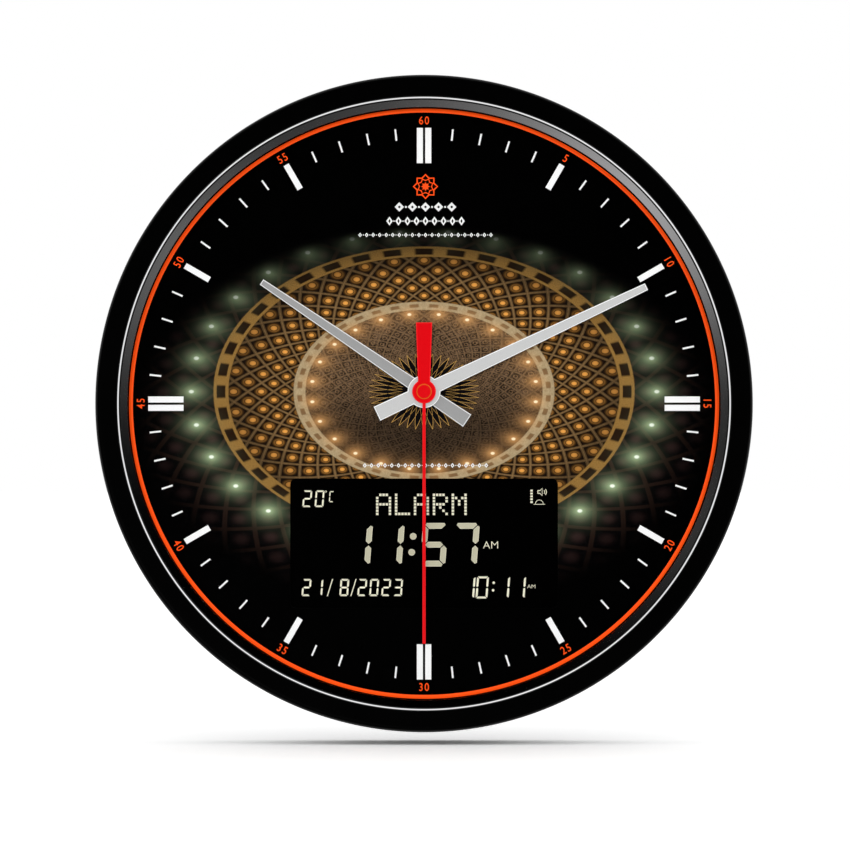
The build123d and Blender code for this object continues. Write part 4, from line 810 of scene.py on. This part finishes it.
# -------- display
# A negative liquid crystal glass behind the dial's window: a black field with pale segments. The
# segments lie on the glass, a hair's breadth above it. Each figure stands on a foot line.
GLASS_TOP = 25.5
ON_GLASS = (GLASS_TOP, GLASS_TOP + 0.1)
SEGMENT_DROP = 0.08
LEAN = math.tan(math.radians(4.4))
LIT = {"0": "abcdef", "1": "bc", "2": "abdeg", "3": "abcdg", "5": "acdfg", "7": "abc", "8": "abcdefg",
       "C": "adef"}
LETTERS = {"A": "01110 10001 10001 11111 10001 10001 10001",
           "L": "10000 10000 10000 10000 10000 10000 11111",
           "M": "10001 11011 10101 10101 10001 10001 10001",
           "R": "11110 10001 10001 11110 10100 10010 10001"}
WORD_SPOT = (-22.9, -44.6)
LETTER_PITCH = 9.25
DOT_PITCH = 1.55
DOT_SIDE = 1.16
TIME_FOOT = -79.6
HEAT_FOOT = -50.6
DATE_FOOT = -94.15
DATE_TALL = 8.4
ALARM_FOOT = -95.3


def segment_outlines(width, tall, thick, gap):
    """The seven bars of a figure. Their meeting ends are cut at half a right angle, and the figure's
    outer corners are cut off. Three are drawn and the others are these in a mirror."""
    middle = tall / 2
    half = thick / 2
    cut = 0.66 * thick
    top = np.array([(cut, tall), (width - cut, tall), (width - cut / 2 - gap, tall - cut / 2),
                    (width - thick - gap, tall - thick), (thick + gap, tall - thick),
                    (cut / 2 + gap, tall - cut / 2)])
    left = np.array([(0, tall - cut), (cut / 2, tall - cut / 2 - gap), (thick, tall - thick - gap),
                     (thick, middle + half + gap), (half, middle + gap), (0, middle + half + gap)])
    bar = np.array([(half + gap, middle), (thick + gap, middle + half),
                    (width - thick - gap, middle + half), (width - half - gap, middle),
                    (width - thick - gap, middle - half), (thick + gap, middle - half)])
    across = np.array([-1, 1])
    upright = np.array([1, -1])
    flip_x = np.array([width, 0])
    flip_z = np.array([0, tall])
    return {"a": top, "d": top * upright + flip_z, "f": left, "b": left * across + flip_x,
            "e": left * upright + flip_z, "c": -left + flip_x + flip_z, "g": bar}


def figures(signs, lefts, foot, widths, tall, thick):
    """The lit segments of some figures that lean to the right: x grows with z by the lean's tangent."""
    gap = 0.1 + thick * 0.1
    made = []
    for sign, x, width in zip(signs, lefts, np.broadcast_to(widths, len(signs))):
        outlines = segment_outlines(width, tall, thick, gap)
        for segment in LIT[sign]:
            outline = outlines[segment]
            leaning = np.column_stack([x + outline[:, 0] + outline[:, 1] * LEAN, foot + outline[:, 1]])
            made.append(prism(leaning, *ON_GLASS, min(0.42, 0.4 * thick), SEGMENT_DROP))
    return made


def slash(x, z, width, tall, thick):
    """A thin stroke that leans to the right."""
    corners = [(x, z), (x + thick, z), (x + width, z + tall), (x + width - thick, z + tall)]
    return prism(corners, *ON_GLASS)


def dots(spots, radius):
    """Round dots of the display."""
    return [prism(star_outline(12, radius, radius, spot), *ON_GLASS, radius * 0.3, SEGMENT_DROP)
            for spot in spots]


time_figures = figures("1157", (-33.0, -17.45, -2.1, 13.15), TIME_FOOT, (6.4, 6.4, 12.35, 12.5), 21.2, 2.75)
time_figures += dots([(-5.3, -64.9), (-6.05, -72.7)], 1.6)
segments = figures("20", (-59.6, -53.6), HEAT_FOOT, 4.3, 8.2, 0.8)
segments += figures("C", (-46.6,), HEAT_FOOT + 2.4, 2.3, 5.4, 0.5)
segments += figures("2182023", (-60.0, -54.2, -41.5, -32.7, -26.9, -21.0, -15.2), DATE_FOOT, 4.3,
                    DATE_TALL, 0.85)
segments += [slash(x, DATE_FOOT, 3.1, DATE_TALL, 0.5) for x in (-47.6, -36.1)]
segments += figures("1011", (21.55, 25.15, 38.45, 46.25), ALARM_FOOT, (2.9, 5.8, 2.9, 2.9), 10.8, 0.95)
segments += dots([(34.1, -87.6), (33.8, -91.3)], 0.62)
for place, sign in enumerate("ALARM"):
    for row, line in enumerate(LETTERS[sign].split()):
        z = WORD_SPOT[1] - row * DOT_PITCH
        for column, lit in enumerate(line):
            if lit == "1":
                x = WORD_SPOT[0] + place * LETTER_PITCH + column * DOT_PITCH
                square = box_outline(DOT_SIDE, z - DOT_SIDE / 2, z + DOT_SIDE / 2, x)
                segments.append(prism(square, *ON_GLASS))


def crystal_pale(name, field, painted_edge_highlight):
    """A lit segment: an even field with a faint weave of the cell behind it, and a painted highlight,
    a brighter border where the surface leans away."""
    finish = Finish(name, Specular_IOR_Level=0.2, Roughness=0.35, Emission_Strength=0.12)
    weave = finish.noise(0.5, 1.0)
    # Painted highlight: the border colour goes on the bevels that lean away.
    tone = finish.mix(finish.facing(0.985, 0.998), painted_edge_highlight, finish.shade(weave, field, 0.88))
    return finish.show(Base_Color=tone, Emission_Color=tone)


# The second colour of each is the painted highlight of the segments' border.
time_finish = crystal_pale("time_crystal", linear(184, 180, 156), linear(234, 230, 206))
small_finish = crystal_pale("small_crystal", linear(222, 218, 194), linear(236, 232, 208))
piece("display_time", joined(time_figures), time_finish, "case")
piece("display_segments", joined(segments), small_finish, "case")


def arc_line(centre, radius, start, end, width, low, high, steps=10):
    """A curved line: the same arc at two radii and two heights, swept from a start to an end angle."""
    angle = np.radians(np.linspace(start, end, steps + 1))[:, None]
    radii = np.array([radius - width / 2, radius + width / 2, radius + width / 2, radius - width / 2])
    heights = np.array([low, low, high, high])
    x = centre[0] + radii * np.sin(angle)
    z = centre[1] + radii * np.cos(angle)
    points = np.stack([x, -heights + 0 * angle, z], -1).reshape(-1, 3)
    faces = grid_faces(steps + 1, 4, closed_rows=False)
    last = 4 * steps
    return points, faces + [[0, 1, 2, 3], [last, last + 1, last + 2, last + 3]]


def sound_symbol(spot, size, low, high):
    """A little loudspeaker with two waves, as on any sound key."""
    x, z = spot
    horn = [(x - 0.5 * size, z - 0.18 * size), (x - 0.25 * size, z - 0.18 * size), (x, z - 0.42 * size),
            (x, z + 0.42 * size), (x - 0.25 * size, z + 0.18 * size), (x - 0.5 * size, z + 0.18 * size)]
    waves = [arc_line((x - 0.05 * size, z), radius * size, 50, 130, 0.07 * size, low, high)
             for radius in (0.28, 0.46)]
    return [framed(horn, 0.1 * size, low, high)] + waves


DOME_SPOT = (56.4, -49.0)
LEVEL_X = 52.6
small_signs = [lettering("AM", 5.2, (32.55, -69.1), *ON_GLASS, squeeze=1.05, weight=-0.012),
               lettering("AM", 2.7, (52.45, -89.4), *ON_GLASS, squeeze=1.1, weight=-0.01),
               framed(star_outline(8, 0.5, 0.5, (-48.1, -43.0)), 0.2, *ON_GLASS),
               arc_line(DOME_SPOT, 1.9, -90, 90, 0.26, *ON_GLASS, 16),
               prism(box_outline(5.6, DOME_SPOT[1] - 0.35, DOME_SPOT[1] - 0.1, DOME_SPOT[0]), *ON_GLASS)]
small_signs += sound_symbol((57.9, -43.2), 4.8, *ON_GLASS)
small_signs += [prism(box_outline(1.2, z, z + 0.9, LEVEL_X), *ON_GLASS)
                for z in (-48.6, -47.2, -45.8, -44.4, -43.0)]
piece("display_small_signs", joined(small_signs), small_finish, "case")


def display_black():
    """The glass over a black field: very even, with the faint grid of its electrodes."""
    finish = Finish("display_black", Specular_IOR_Level=0.02, Roughness=0.3)
    across, up = finish.face_spot()
    grid = finish.math("SINE", across * 2.6) * finish.math("SINE", up * 2.6)
    return finish.show(Base_Color=finish.mix(grid.rise(0.2, 1.0), DEEP_BLACK, SOFT_BLACK))


dress(display_black(), "lcd_glass")


# -------- hands
# Baton hands stamped from aluminium sheet with a bevelled edge, which is painted lighter as a highlight.
# The hour and minute hands are silver grey. The second hand is red, with a low red cap over its arbor.
HOUR_ANGLE = 304.0
MINUTE_ANGLE = 64.75
SECOND_ANGLE = 180.0
RED = linear(221, 0, 12)


def hand_metal(name, face, edge, angle):
    """Brushed sheet under a satin lacquer: lines along the blade, and a painted highlight, a brighter
    tone where the surface leans away on the bevelled edge."""
    finish = Finish(name, Specular_IOR_Level=0.15)
    along = finish.place(move=(0, 0, AXIS_UP), turn=(0, angle, 0), stretch=(1, 1, 0.03))
    brushing = finish.noise(0.16, 3.0, along, 0.6)
    # Painted highlight: the edge colour goes where the surface leans away, on the bevels.
    tone = finish.mix(finish.facing(0.95, 0.985), edge, finish.shade(brushing, face, 0.94))
    finish.relief(brushing, 0.002, 0.3)
    return finish.show(Base_Color=tone, Roughness=brushing * 0.14 + 0.3)


# Each hand's edge colour is the painted highlight of its bevelled edge.
for name, hand, face, edge, angle in (
        ("hour_silver", "hour_hand", linear(156, 156, 156), linear(228, 228, 228), HOUR_ANGLE),
        ("minute_silver", "minute_hand", linear(199, 199, 199), linear(244, 244, 244), MINUTE_ANGLE),
        ("second_red", "second_hand", RED, linear(245, 30, 36), SECOND_ANGLE)):
    dress(hand_metal(name, face, edge, angle), hand)


def cap_red_painted_highlight():
    """The hand's red, with a painted highlight: a warm orange on the sloped edge."""
    finish = Finish("cap_red_painted_highlight", Specular_IOR_Level=0.2)
    cloud = finish.noise(3.0, 2.0)
    finish.relief(cloud, 0.004, 0.3)
    # Painted highlight: the sloped edge gets a warm orange where it leans away from the front.
    colour = finish.mix(finish.facing(0.9, 0.98), linear(226, 92, 26), finish.shade(cloud, RED, 0.95))
    return finish.show(Base_Color=colour, Roughness=cloud * 0.05 + 0.3)


cap_loop = rounded([(0, 34.4), (3.8, 34.4), (3.62, 34.72), (3.22, 34.94), (0, 35.0)],
                   (0, 0.03, 0.08, 0.1, 0), 5)
piece("second_cap", turned(cap_loop, (0, AXIS_UP), 96), cap_red_painted_highlight(), "second_hand_set")


# -------- hands' fixing and movement
# The movement is clamped to the dial by a brass bushing and a nut. Its case is black, and its wheels
# are moulded from a pale, slippery plastic. The display's board and holder are finished with it.
def turned_metal(name, base, roughness=0.25, pitch=9.0, edge=0.12):
    """Turned or drawn metal: fine rings by height and a little tarnish."""
    finish = Finish(name, Metallic=1.0)
    height = finish.split(finish.place())[1]
    tarnish = finish.noise(2.5, 3.0)
    finish.relief(finish.math("SINE", height * pitch) * 0.5 + 0.5, 0.004, 0.4, edge)
    return finish.show(Base_Color=finish.shade(tarnish, base, 0.75), Roughness=tarnish * 0.2 + roughness)


dress(turned_metal("brass", (0.72, 0.52, 0.22)), "threaded_bushing", "hex_nut", "minute_arbor")
wheel_plastic = moulded("wheel_plastic", (0.72, 0.70, 0.62), 0.35, 0.2, 0.006)
dress(wheel_plastic, "motor_rotor", "intermediate_wheel", "seconds_arbor", "third_wheel", "centre_wheel",
      "minute_wheel", "hour_wheel", "train_plate", "coil_bobbin")
dress(moulded("knob_plastic", (0.55, 0.54, 0.50), 0.4, 0.3, 0.01, 0.15), "setting_knob")
dress(moulded("movement_plastic", (0.012, 0.012, 0.013), 0.42, 0.4, 0.02, 0.25), "movement_case_front",
      "movement_case_back")


def sheet_metal(name, base, grain=(1, 1, 0.04), roughness=0.3, edge=0.15):
    """Plated sheet: rolling lines along one way and small clouds in the plating."""
    finish = Finish(name, Metallic=1.0)
    lines = finish.noise(0.3, 3.0, finish.place(stretch=grain))
    cloud = finish.noise(4.0, 3.0)
    finish.relief(lines, 0.004, 0.4, edge)
    return finish.show(Base_Color=finish.shade(cloud, base, 0.82), Roughness=lines * 0.15 + roughness)


dress(sheet_metal("plated_steel", (0.62, 0.63, 0.65)), "motor_stator", "battery_contacts", "board_screws")
dress(moulded("soft_rubber", (0.012, 0.012, 0.012), 0.75, 0.3, 0.02), "rubber_washer", "zebra_strip")


def wound_wire():
    """Enamelled wire, layer on layer: lines round the core, with painted shade darker in the grooves."""
    finish = Finish("wound_wire", Metallic=1.0)
    up = finish.split(finish.place())[2]
    turns = finish.math("SINE", up * 26.0) * 0.5 + 0.5
    finish.relief(turns, 0.05, 0.8)
    # Painted shade: the colour is dark in the grooves between turns and light on their crowns.
    return finish.show(Base_Color=finish.mix(turns, (0.30, 0.09, 0.03), (0.80, 0.36, 0.16)),
                       Roughness=turns * 0.1 + 0.3)


dress(wound_wire(), "motor_coil")


def circuit_board():
    """Green solder mask: the tracks stand out a little under it."""
    finish = Finish("solder_mask", Specular_IOR_Level=0.5)
    across, up = finish.face_spot()
    lane = finish.noise(5.0, 0.0).rise(0.48, 0.52)
    tracks = finish.math("SINE", across * 2.4) * (1 - lane) + finish.math("SINE", up * 2.4) * lane
    copper = tracks.rise(0.3, 0.5)
    finish.relief(copper, 0.03, 0.8)
    return finish.show(Base_Color=finish.mix(copper, (0.010, 0.085, 0.03), (0.02, 0.16, 0.055)),
                       Roughness=copper * 0.1 + 0.3)


dress(circuit_board(), "main_board", "movement_board")
dress(moulded("chip_resin", (0.014, 0.014, 0.015), 0.5, 0.25, 0.01, 0.1), "board_chips", "tact_switches")
dress(moulded("bead_resin", (0.010, 0.010, 0.012), 0.25, 0.6, 0.01), "temperature_sensor")
dress(moulded("holder_plastic", (0.014, 0.014, 0.014), 0.5), "lcd_frame")
dress(white_satin("light_guide", 0.8), "lcd_backlight")


# -------- loudspeaker
# A pressed steel basket with a paper cone and a ferrite ring, behind the slots of the back.
SPEAKER_SPOT = (84.0, 8.0)


def cone_paper():
    """Pressed grey-black paper: fibres and shallow rings about the loudspeaker's axis."""
    finish = Finish("cone_paper", Specular_IOR_Level=0.2, Roughness=0.8)
    radius = finish.from_axis((SPEAKER_SPOT[0], 0, SPEAKER_SPOT[1]))
    rings = finish.math("SINE", radius * 2.6) * 0.5 + 0.5
    fibre = finish.noise(0.5, 4.0, rough=0.8)
    finish.relief(rings * 0.6 + fibre * 0.4, 0.15, 0.8)
    return finish.show(Base_Color=finish.mix(fibre, (0.018, 0.018, 0.019), (0.05, 0.05, 0.052)))


dress(cone_paper(), "speaker_cone")
dress(sheet_metal("basket_steel", (0.50, 0.51, 0.53)), "speaker_frame")
dress(moulded("ferrite", (0.05, 0.05, 0.055), 0.6, 0.5, 0.03, 0.2), "speaker_magnet")


# -------- back cover and what is on it
# A moulded panel with an eroded grain. The battery door, the hanger plate, the screws and the keys
# sit in it. Printed symbols name the keys, and low rings stiffen the panel.
PANEL_LOW = 2.0
RAISED = PANEL_LOW - 0.3
ON_BACK = (RAISED, PANEL_LOW)
KEY_Z = -84.0
KEY_PLACES = (-44.0, -22.0, 0.0, 22.0, 44.0)
SYMBOL_Z = KEY_Z + 9.4

dress(moulded("back_plastic", (0.014, 0.014, 0.015), 0.5, 0.55, 0.05, 0.3), "back_cover")
dress(moulded("door_plastic", (0.015, 0.015, 0.016), 0.48, 0.55, 0.05, 0.3), "battery_door")
dress(sheet_metal("hanger_steel", (0.66, 0.67, 0.69), (0.05, 1, 1), 0.28, 0.15), "hanger_plate")
dress(turned_metal("screw_steel", (0.58, 0.59, 0.61), 0.25, 5.0, 0.12), "cover_screws", "hanger_screws")
dress(moulded("key_plastic", (0.15, 0.15, 0.16), 0.42, 0.3, 0.012), "mode_button", "set_button",
      "up_button", "down_button", "sound_button")


def behind(shape):
    """A shape drawn as it looks from the back, put on the back: left and right change places."""
    points, faces = shape
    return points * (-1, 1, 1), faces


def triangle(spot, size, way):
    """A triangle that points up or down."""
    x, z = spot
    return [(x - 0.5 * size, z - 0.4 * size * way), (x + 0.5 * size, z - 0.4 * size * way),
            (x, z + 0.45 * size * way)]


def low_ring(inner, outer, slope, top, corner, spot, steps):
    """A low ring on the panel whose two sides slope in towards its top."""
    loop = rounded([(inner, PANEL_LOW), (outer, PANEL_LOW), (outer - slope, top), (inner + slope, top)],
                   corner, 2)
    return turned(loop, spot, steps)


sound_x, down_x, up_x, set_x, mode_x = KEY_PLACES
symbols = [prism(box_outline(4.0, z - 0.3, z + 0.3, mode_x), *ON_BACK)
           for z in (SYMBOL_Z - 1.3, SYMBOL_Z, SYMBOL_Z + 1.3)]
symbols += [framed(star_outline(12, 2.1, 2.1, (set_x, SYMBOL_Z)), 0.6, *ON_BACK),
            prism(star_outline(12, 0.6, 0.6, (set_x, SYMBOL_Z)), *ON_BACK),
            prism(triangle((up_x, SYMBOL_Z), 4.2, 1), *ON_BACK),
            prism(triangle((down_x, SYMBOL_Z), 4.2, -1), *ON_BACK),
            prism(triangle((0.0, 92.0), 9.0, 1), *ON_BACK)]
symbols += sound_symbol((sound_x, SYMBOL_Z), 5.0, *ON_BACK)
piece("key_symbols", joined([behind(shape) for shape in symbols]),
      printed("symbol_ink", (0.42, 0.42, 0.43)), "case")

mark_finish = moulded("raised_plastic", (0.026, 0.026, 0.028), 0.4, 0.4, 0.01)
rings = [low_ring(5.4, 6.2, 0.1, RAISED, 0.1, (x, KEY_Z), 48) for x in KEY_PLACES]
rings += [low_ring(145.6, 147.4, 0.3, 1.4, 0.2, (0, 0), 288),
          low_ring(25.6, 27.0, 0.2, 1.5, 0.2, SPEAKER_SPOT, 96)]
piece("raised_rings", joined(rings), mark_finish, "case")

grip = [prism(box_outline(0.9, -2.0, 14.0, x), *ON_BACK) for x in (-57.2, -59.2, -61.2, -63.2)]
grip.append(prism([(-68.5, 2.4), (-68.5, 9.6), (-73.0, 6.0)], *ON_BACK))
piece("door_grip", joined(grip), mark_finish, "battery_lid")


# -------- cells and springs
# Plain cells in a printed sleeve, three side by side in the bay and one in the movement. They lie
# between plated strips and coil springs of steel wire.
CELL_LENGTH = 49.2
CELL_HALF = CELL_LENGTH / 2
NUB_RISE = 1.2
BAY_MIDDLE = 6.0
BAY_HALF = 28.5
STRIP_THICK = 0.5
MAIN_HEIGHT = 12.2
SINGLE_HEIGHT = 17.0
MOVEMENT_CELL = (0.0, 33.7)
CELL_PLACES = ((-93.55, 1), (-78.25, -1), (-62.95, 1))


def axle_turned(profile, spot, steps=64):
    """A loop of (radius, distance along) carried round an upright line through (x, height)."""
    profile = np.asarray(profile, float)
    angle = np.linspace(0, 2 * np.pi, steps, endpoint=False)[:, None]
    x = spot[0] + profile[:, 0] * np.cos(angle)
    y = -spot[1] + profile[:, 0] * np.sin(angle)
    z = profile[:, 1] + 0 * angle
    return np.stack([x, y, z], -1).reshape(-1, 3), grid_faces(steps, len(profile))


def laid_across(shape, centre):
    """An upright shape laid down with its top to the right, about (x, z)."""
    points, faces = shape
    return np.column_stack([centre[0] + points[:, 2], points[:, 1], centre[1] - points[:, 0]]), faces


def lifted(shape, z, way):
    """An upright shape moved up, after it is turned top down where way is -1."""
    points, faces = shape
    return np.column_stack([points[:, 0], points[:, 1], z + way * points[:, 2]]), faces


def sleeve_print(name, centre, axis, way):
    """A heat-shrunk sleeve: pale grey with one blue band towards the nub, and fine crinkles."""
    finish = Finish(name, Specular_IOR_Level=0.5, Metallic=0.2)
    along = finish.split(finish.place(move=centre))[axis] * way
    crinkle = finish.noise(1.1, 2.0)
    blue = finish.mix(crinkle, (0.03, 0.10, 0.22), (0.05, 0.14, 0.28))
    grey = finish.mix(crinkle, (0.46, 0.47, 0.48), (0.58, 0.59, 0.60))
    colour = finish.mix(along.rise(7.8, 8.1), grey, blue)
    finish.relief(crinkle, 0.03, 0.4)
    return finish.show(Base_Color=colour, Roughness=crinkle * 0.1 + 0.28)


sleeve_loop = rounded([(6.6, 0.5 - CELL_HALF), (7.1, 0.9 - CELL_HALF), (7.1, CELL_HALF - 0.9),
                       (6.6, CELL_HALF - 0.5), (6.0, CELL_HALF - 0.5), (6.0, 0.5 - CELL_HALF)], 0.25, 3)
can_loop = rounded([(0, -CELL_HALF), (6.55, -CELL_HALF), (6.95, 0.7 - CELL_HALF), (6.95, CELL_HALF - 0.7),
                    (6.4, CELL_HALF), (3.4, CELL_HALF - 0.15), (3.0, CELL_HALF - 0.1),
                    (2.6, CELL_HALF + 0.1), (2.6, CELL_HALF + NUB_RISE), (0, CELL_HALF + NUB_RISE)],
                   (0, 0.3, 0.2, 0.2, 0.3, 0.15, 0.1, 0.1, 0.35, 0), 3)
can_metal = turned_metal("can_steel", (0.66, 0.66, 0.68), 0.22, 2.0, 0.0)
cans = []
for place, (x, way) in enumerate(CELL_PLACES):
    middle = BAY_MIDDLE - NUB_RISE / 2 * way
    cans.append(lifted(axle_turned(can_loop, (x, MAIN_HEIGHT)), middle, way))
    piece(f"cell_sleeve_{place + 1}", lifted(axle_turned(sleeve_loop, (x, MAIN_HEIGHT)), middle, way),
          sleeve_print(f"sleeve_print_{place + 1}", (x, 0, BAY_MIDDLE), 2, way), "case")
piece("cell_cans", joined(cans), can_metal, "case", ["main_cells"])
piece("movement_sleeve", laid_across(axle_turned(sleeve_loop, (0, SINGLE_HEIGHT)), MOVEMENT_CELL),
      sleeve_print("movement_sleeve_print", (0, 0, 0), 0, 1), "case")
piece("movement_can", laid_across(axle_turned(can_loop, (0, SINGLE_HEIGHT)), MOVEMENT_CELL), can_metal,
      "case", ["movement_cell"])


def coil_spring(spot, start, end, wide, turns=4.5, wire=0.32, steps=180, sides=8):
    """Wire round an upright line through (x, height): the coil's radius goes from wide to narrow
    while it climbs from start to end, and the wire is a small circle in the plane of radius and axis."""
    narrow = 2.2
    inset = wire / abs(end - start)
    t = np.linspace(0, 1, steps)[:, None]
    angle = 2 * np.pi * turns * t
    around_wire = np.linspace(0, 2 * np.pi, sides, endpoint=False)[None, :]
    radius = wide + (narrow - wide) * t + wire * np.cos(around_wire)
    climb = start + (end - start) * (inset + (1 - 2 * inset) * t) + wire * np.sin(around_wire)
    points = np.stack([spot[0] + radius * np.cos(angle), radius * np.sin(angle) - spot[1], climb], -1)
    last = sides * (steps - 1)
    ends = [list(range(sides)), list(range(last, last + sides))]
    return points.reshape(-1, 3), grid_faces(steps, sides, closed_rows=False) + ends


spring_metal = sheet_metal("spring_wire", (0.60, 0.60, 0.62), (1, 1, 1), 0.22, 0.0)
springs = [coil_spring((x, MAIN_HEIGHT), BAY_MIDDLE - way * (BAY_HALF - STRIP_THICK),
                       BAY_MIDDLE - way * (CELL_LENGTH + NUB_RISE) / 2, 3.45) for x, way in CELL_PLACES]
piece("bay_springs", joined(springs), spring_metal, "case", ["contact_springs"])

strips = [prism(box_outline(0.4, MOVEMENT_CELL[1] - 5.0, MOVEMENT_CELL[1] + 5.0, x), 12.5, 21.5, 0.08)
          for x in (-26.6, 26.6)]
lying_spring = laid_across(coil_spring((0, SINGLE_HEIGHT), -26.4, -24.6, 3.2, 3.0), MOVEMENT_CELL)
piece("movement_strips", joined(strips + [lying_spring]), spring_metal, "case",
      ["movement_contacts"])


# -------- marks on the movement
# A moulded arrow round the setting knob shows which way the hands turn, above a moulded frame. Four
# round marks are left by the pins that push the case out of its mould.
KNOB_SPOT = (8.57, 18.14)
MOVEMENT_BACK = 9.3
ARROW_RADIUS = 6.5
ARROW_END = 130.0
ARROW_LOW = MOVEMENT_BACK - 0.25

tip_x, tip_z = circle_spot(ARROW_RADIUS, -ARROW_END - 8.0)
arrow_tip = (KNOB_SPOT[0] + tip_x, KNOB_SPOT[1] + tip_z)
marks = [arc_line(KNOB_SPOT, ARROW_RADIUS, -ARROW_END, ARROW_END, 0.5, ARROW_LOW, MOVEMENT_BACK, 40),
         swung(prism(triangle(arrow_tip, 2.2, 1), ARROW_LOW, MOVEMENT_BACK), ARROW_END, arrow_tip),
         framed(box_outline(20.0, -9.0, 4.0, -12.0), 0.5, 9.1, MOVEMENT_BACK)]
pin_loop = rounded([(0, MOVEMENT_BACK), (1.1, MOVEMENT_BACK), (1.0, 9.05), (0, 9.05)], (0, 0, 0.1, 0), 2)
marks += [turned(pin_loop, (x, z), 24) for x in (-24.5, 24.5) for z in (-10.0, 21.0)]
piece("movement_marks", joined(marks), mark_finish, "case")
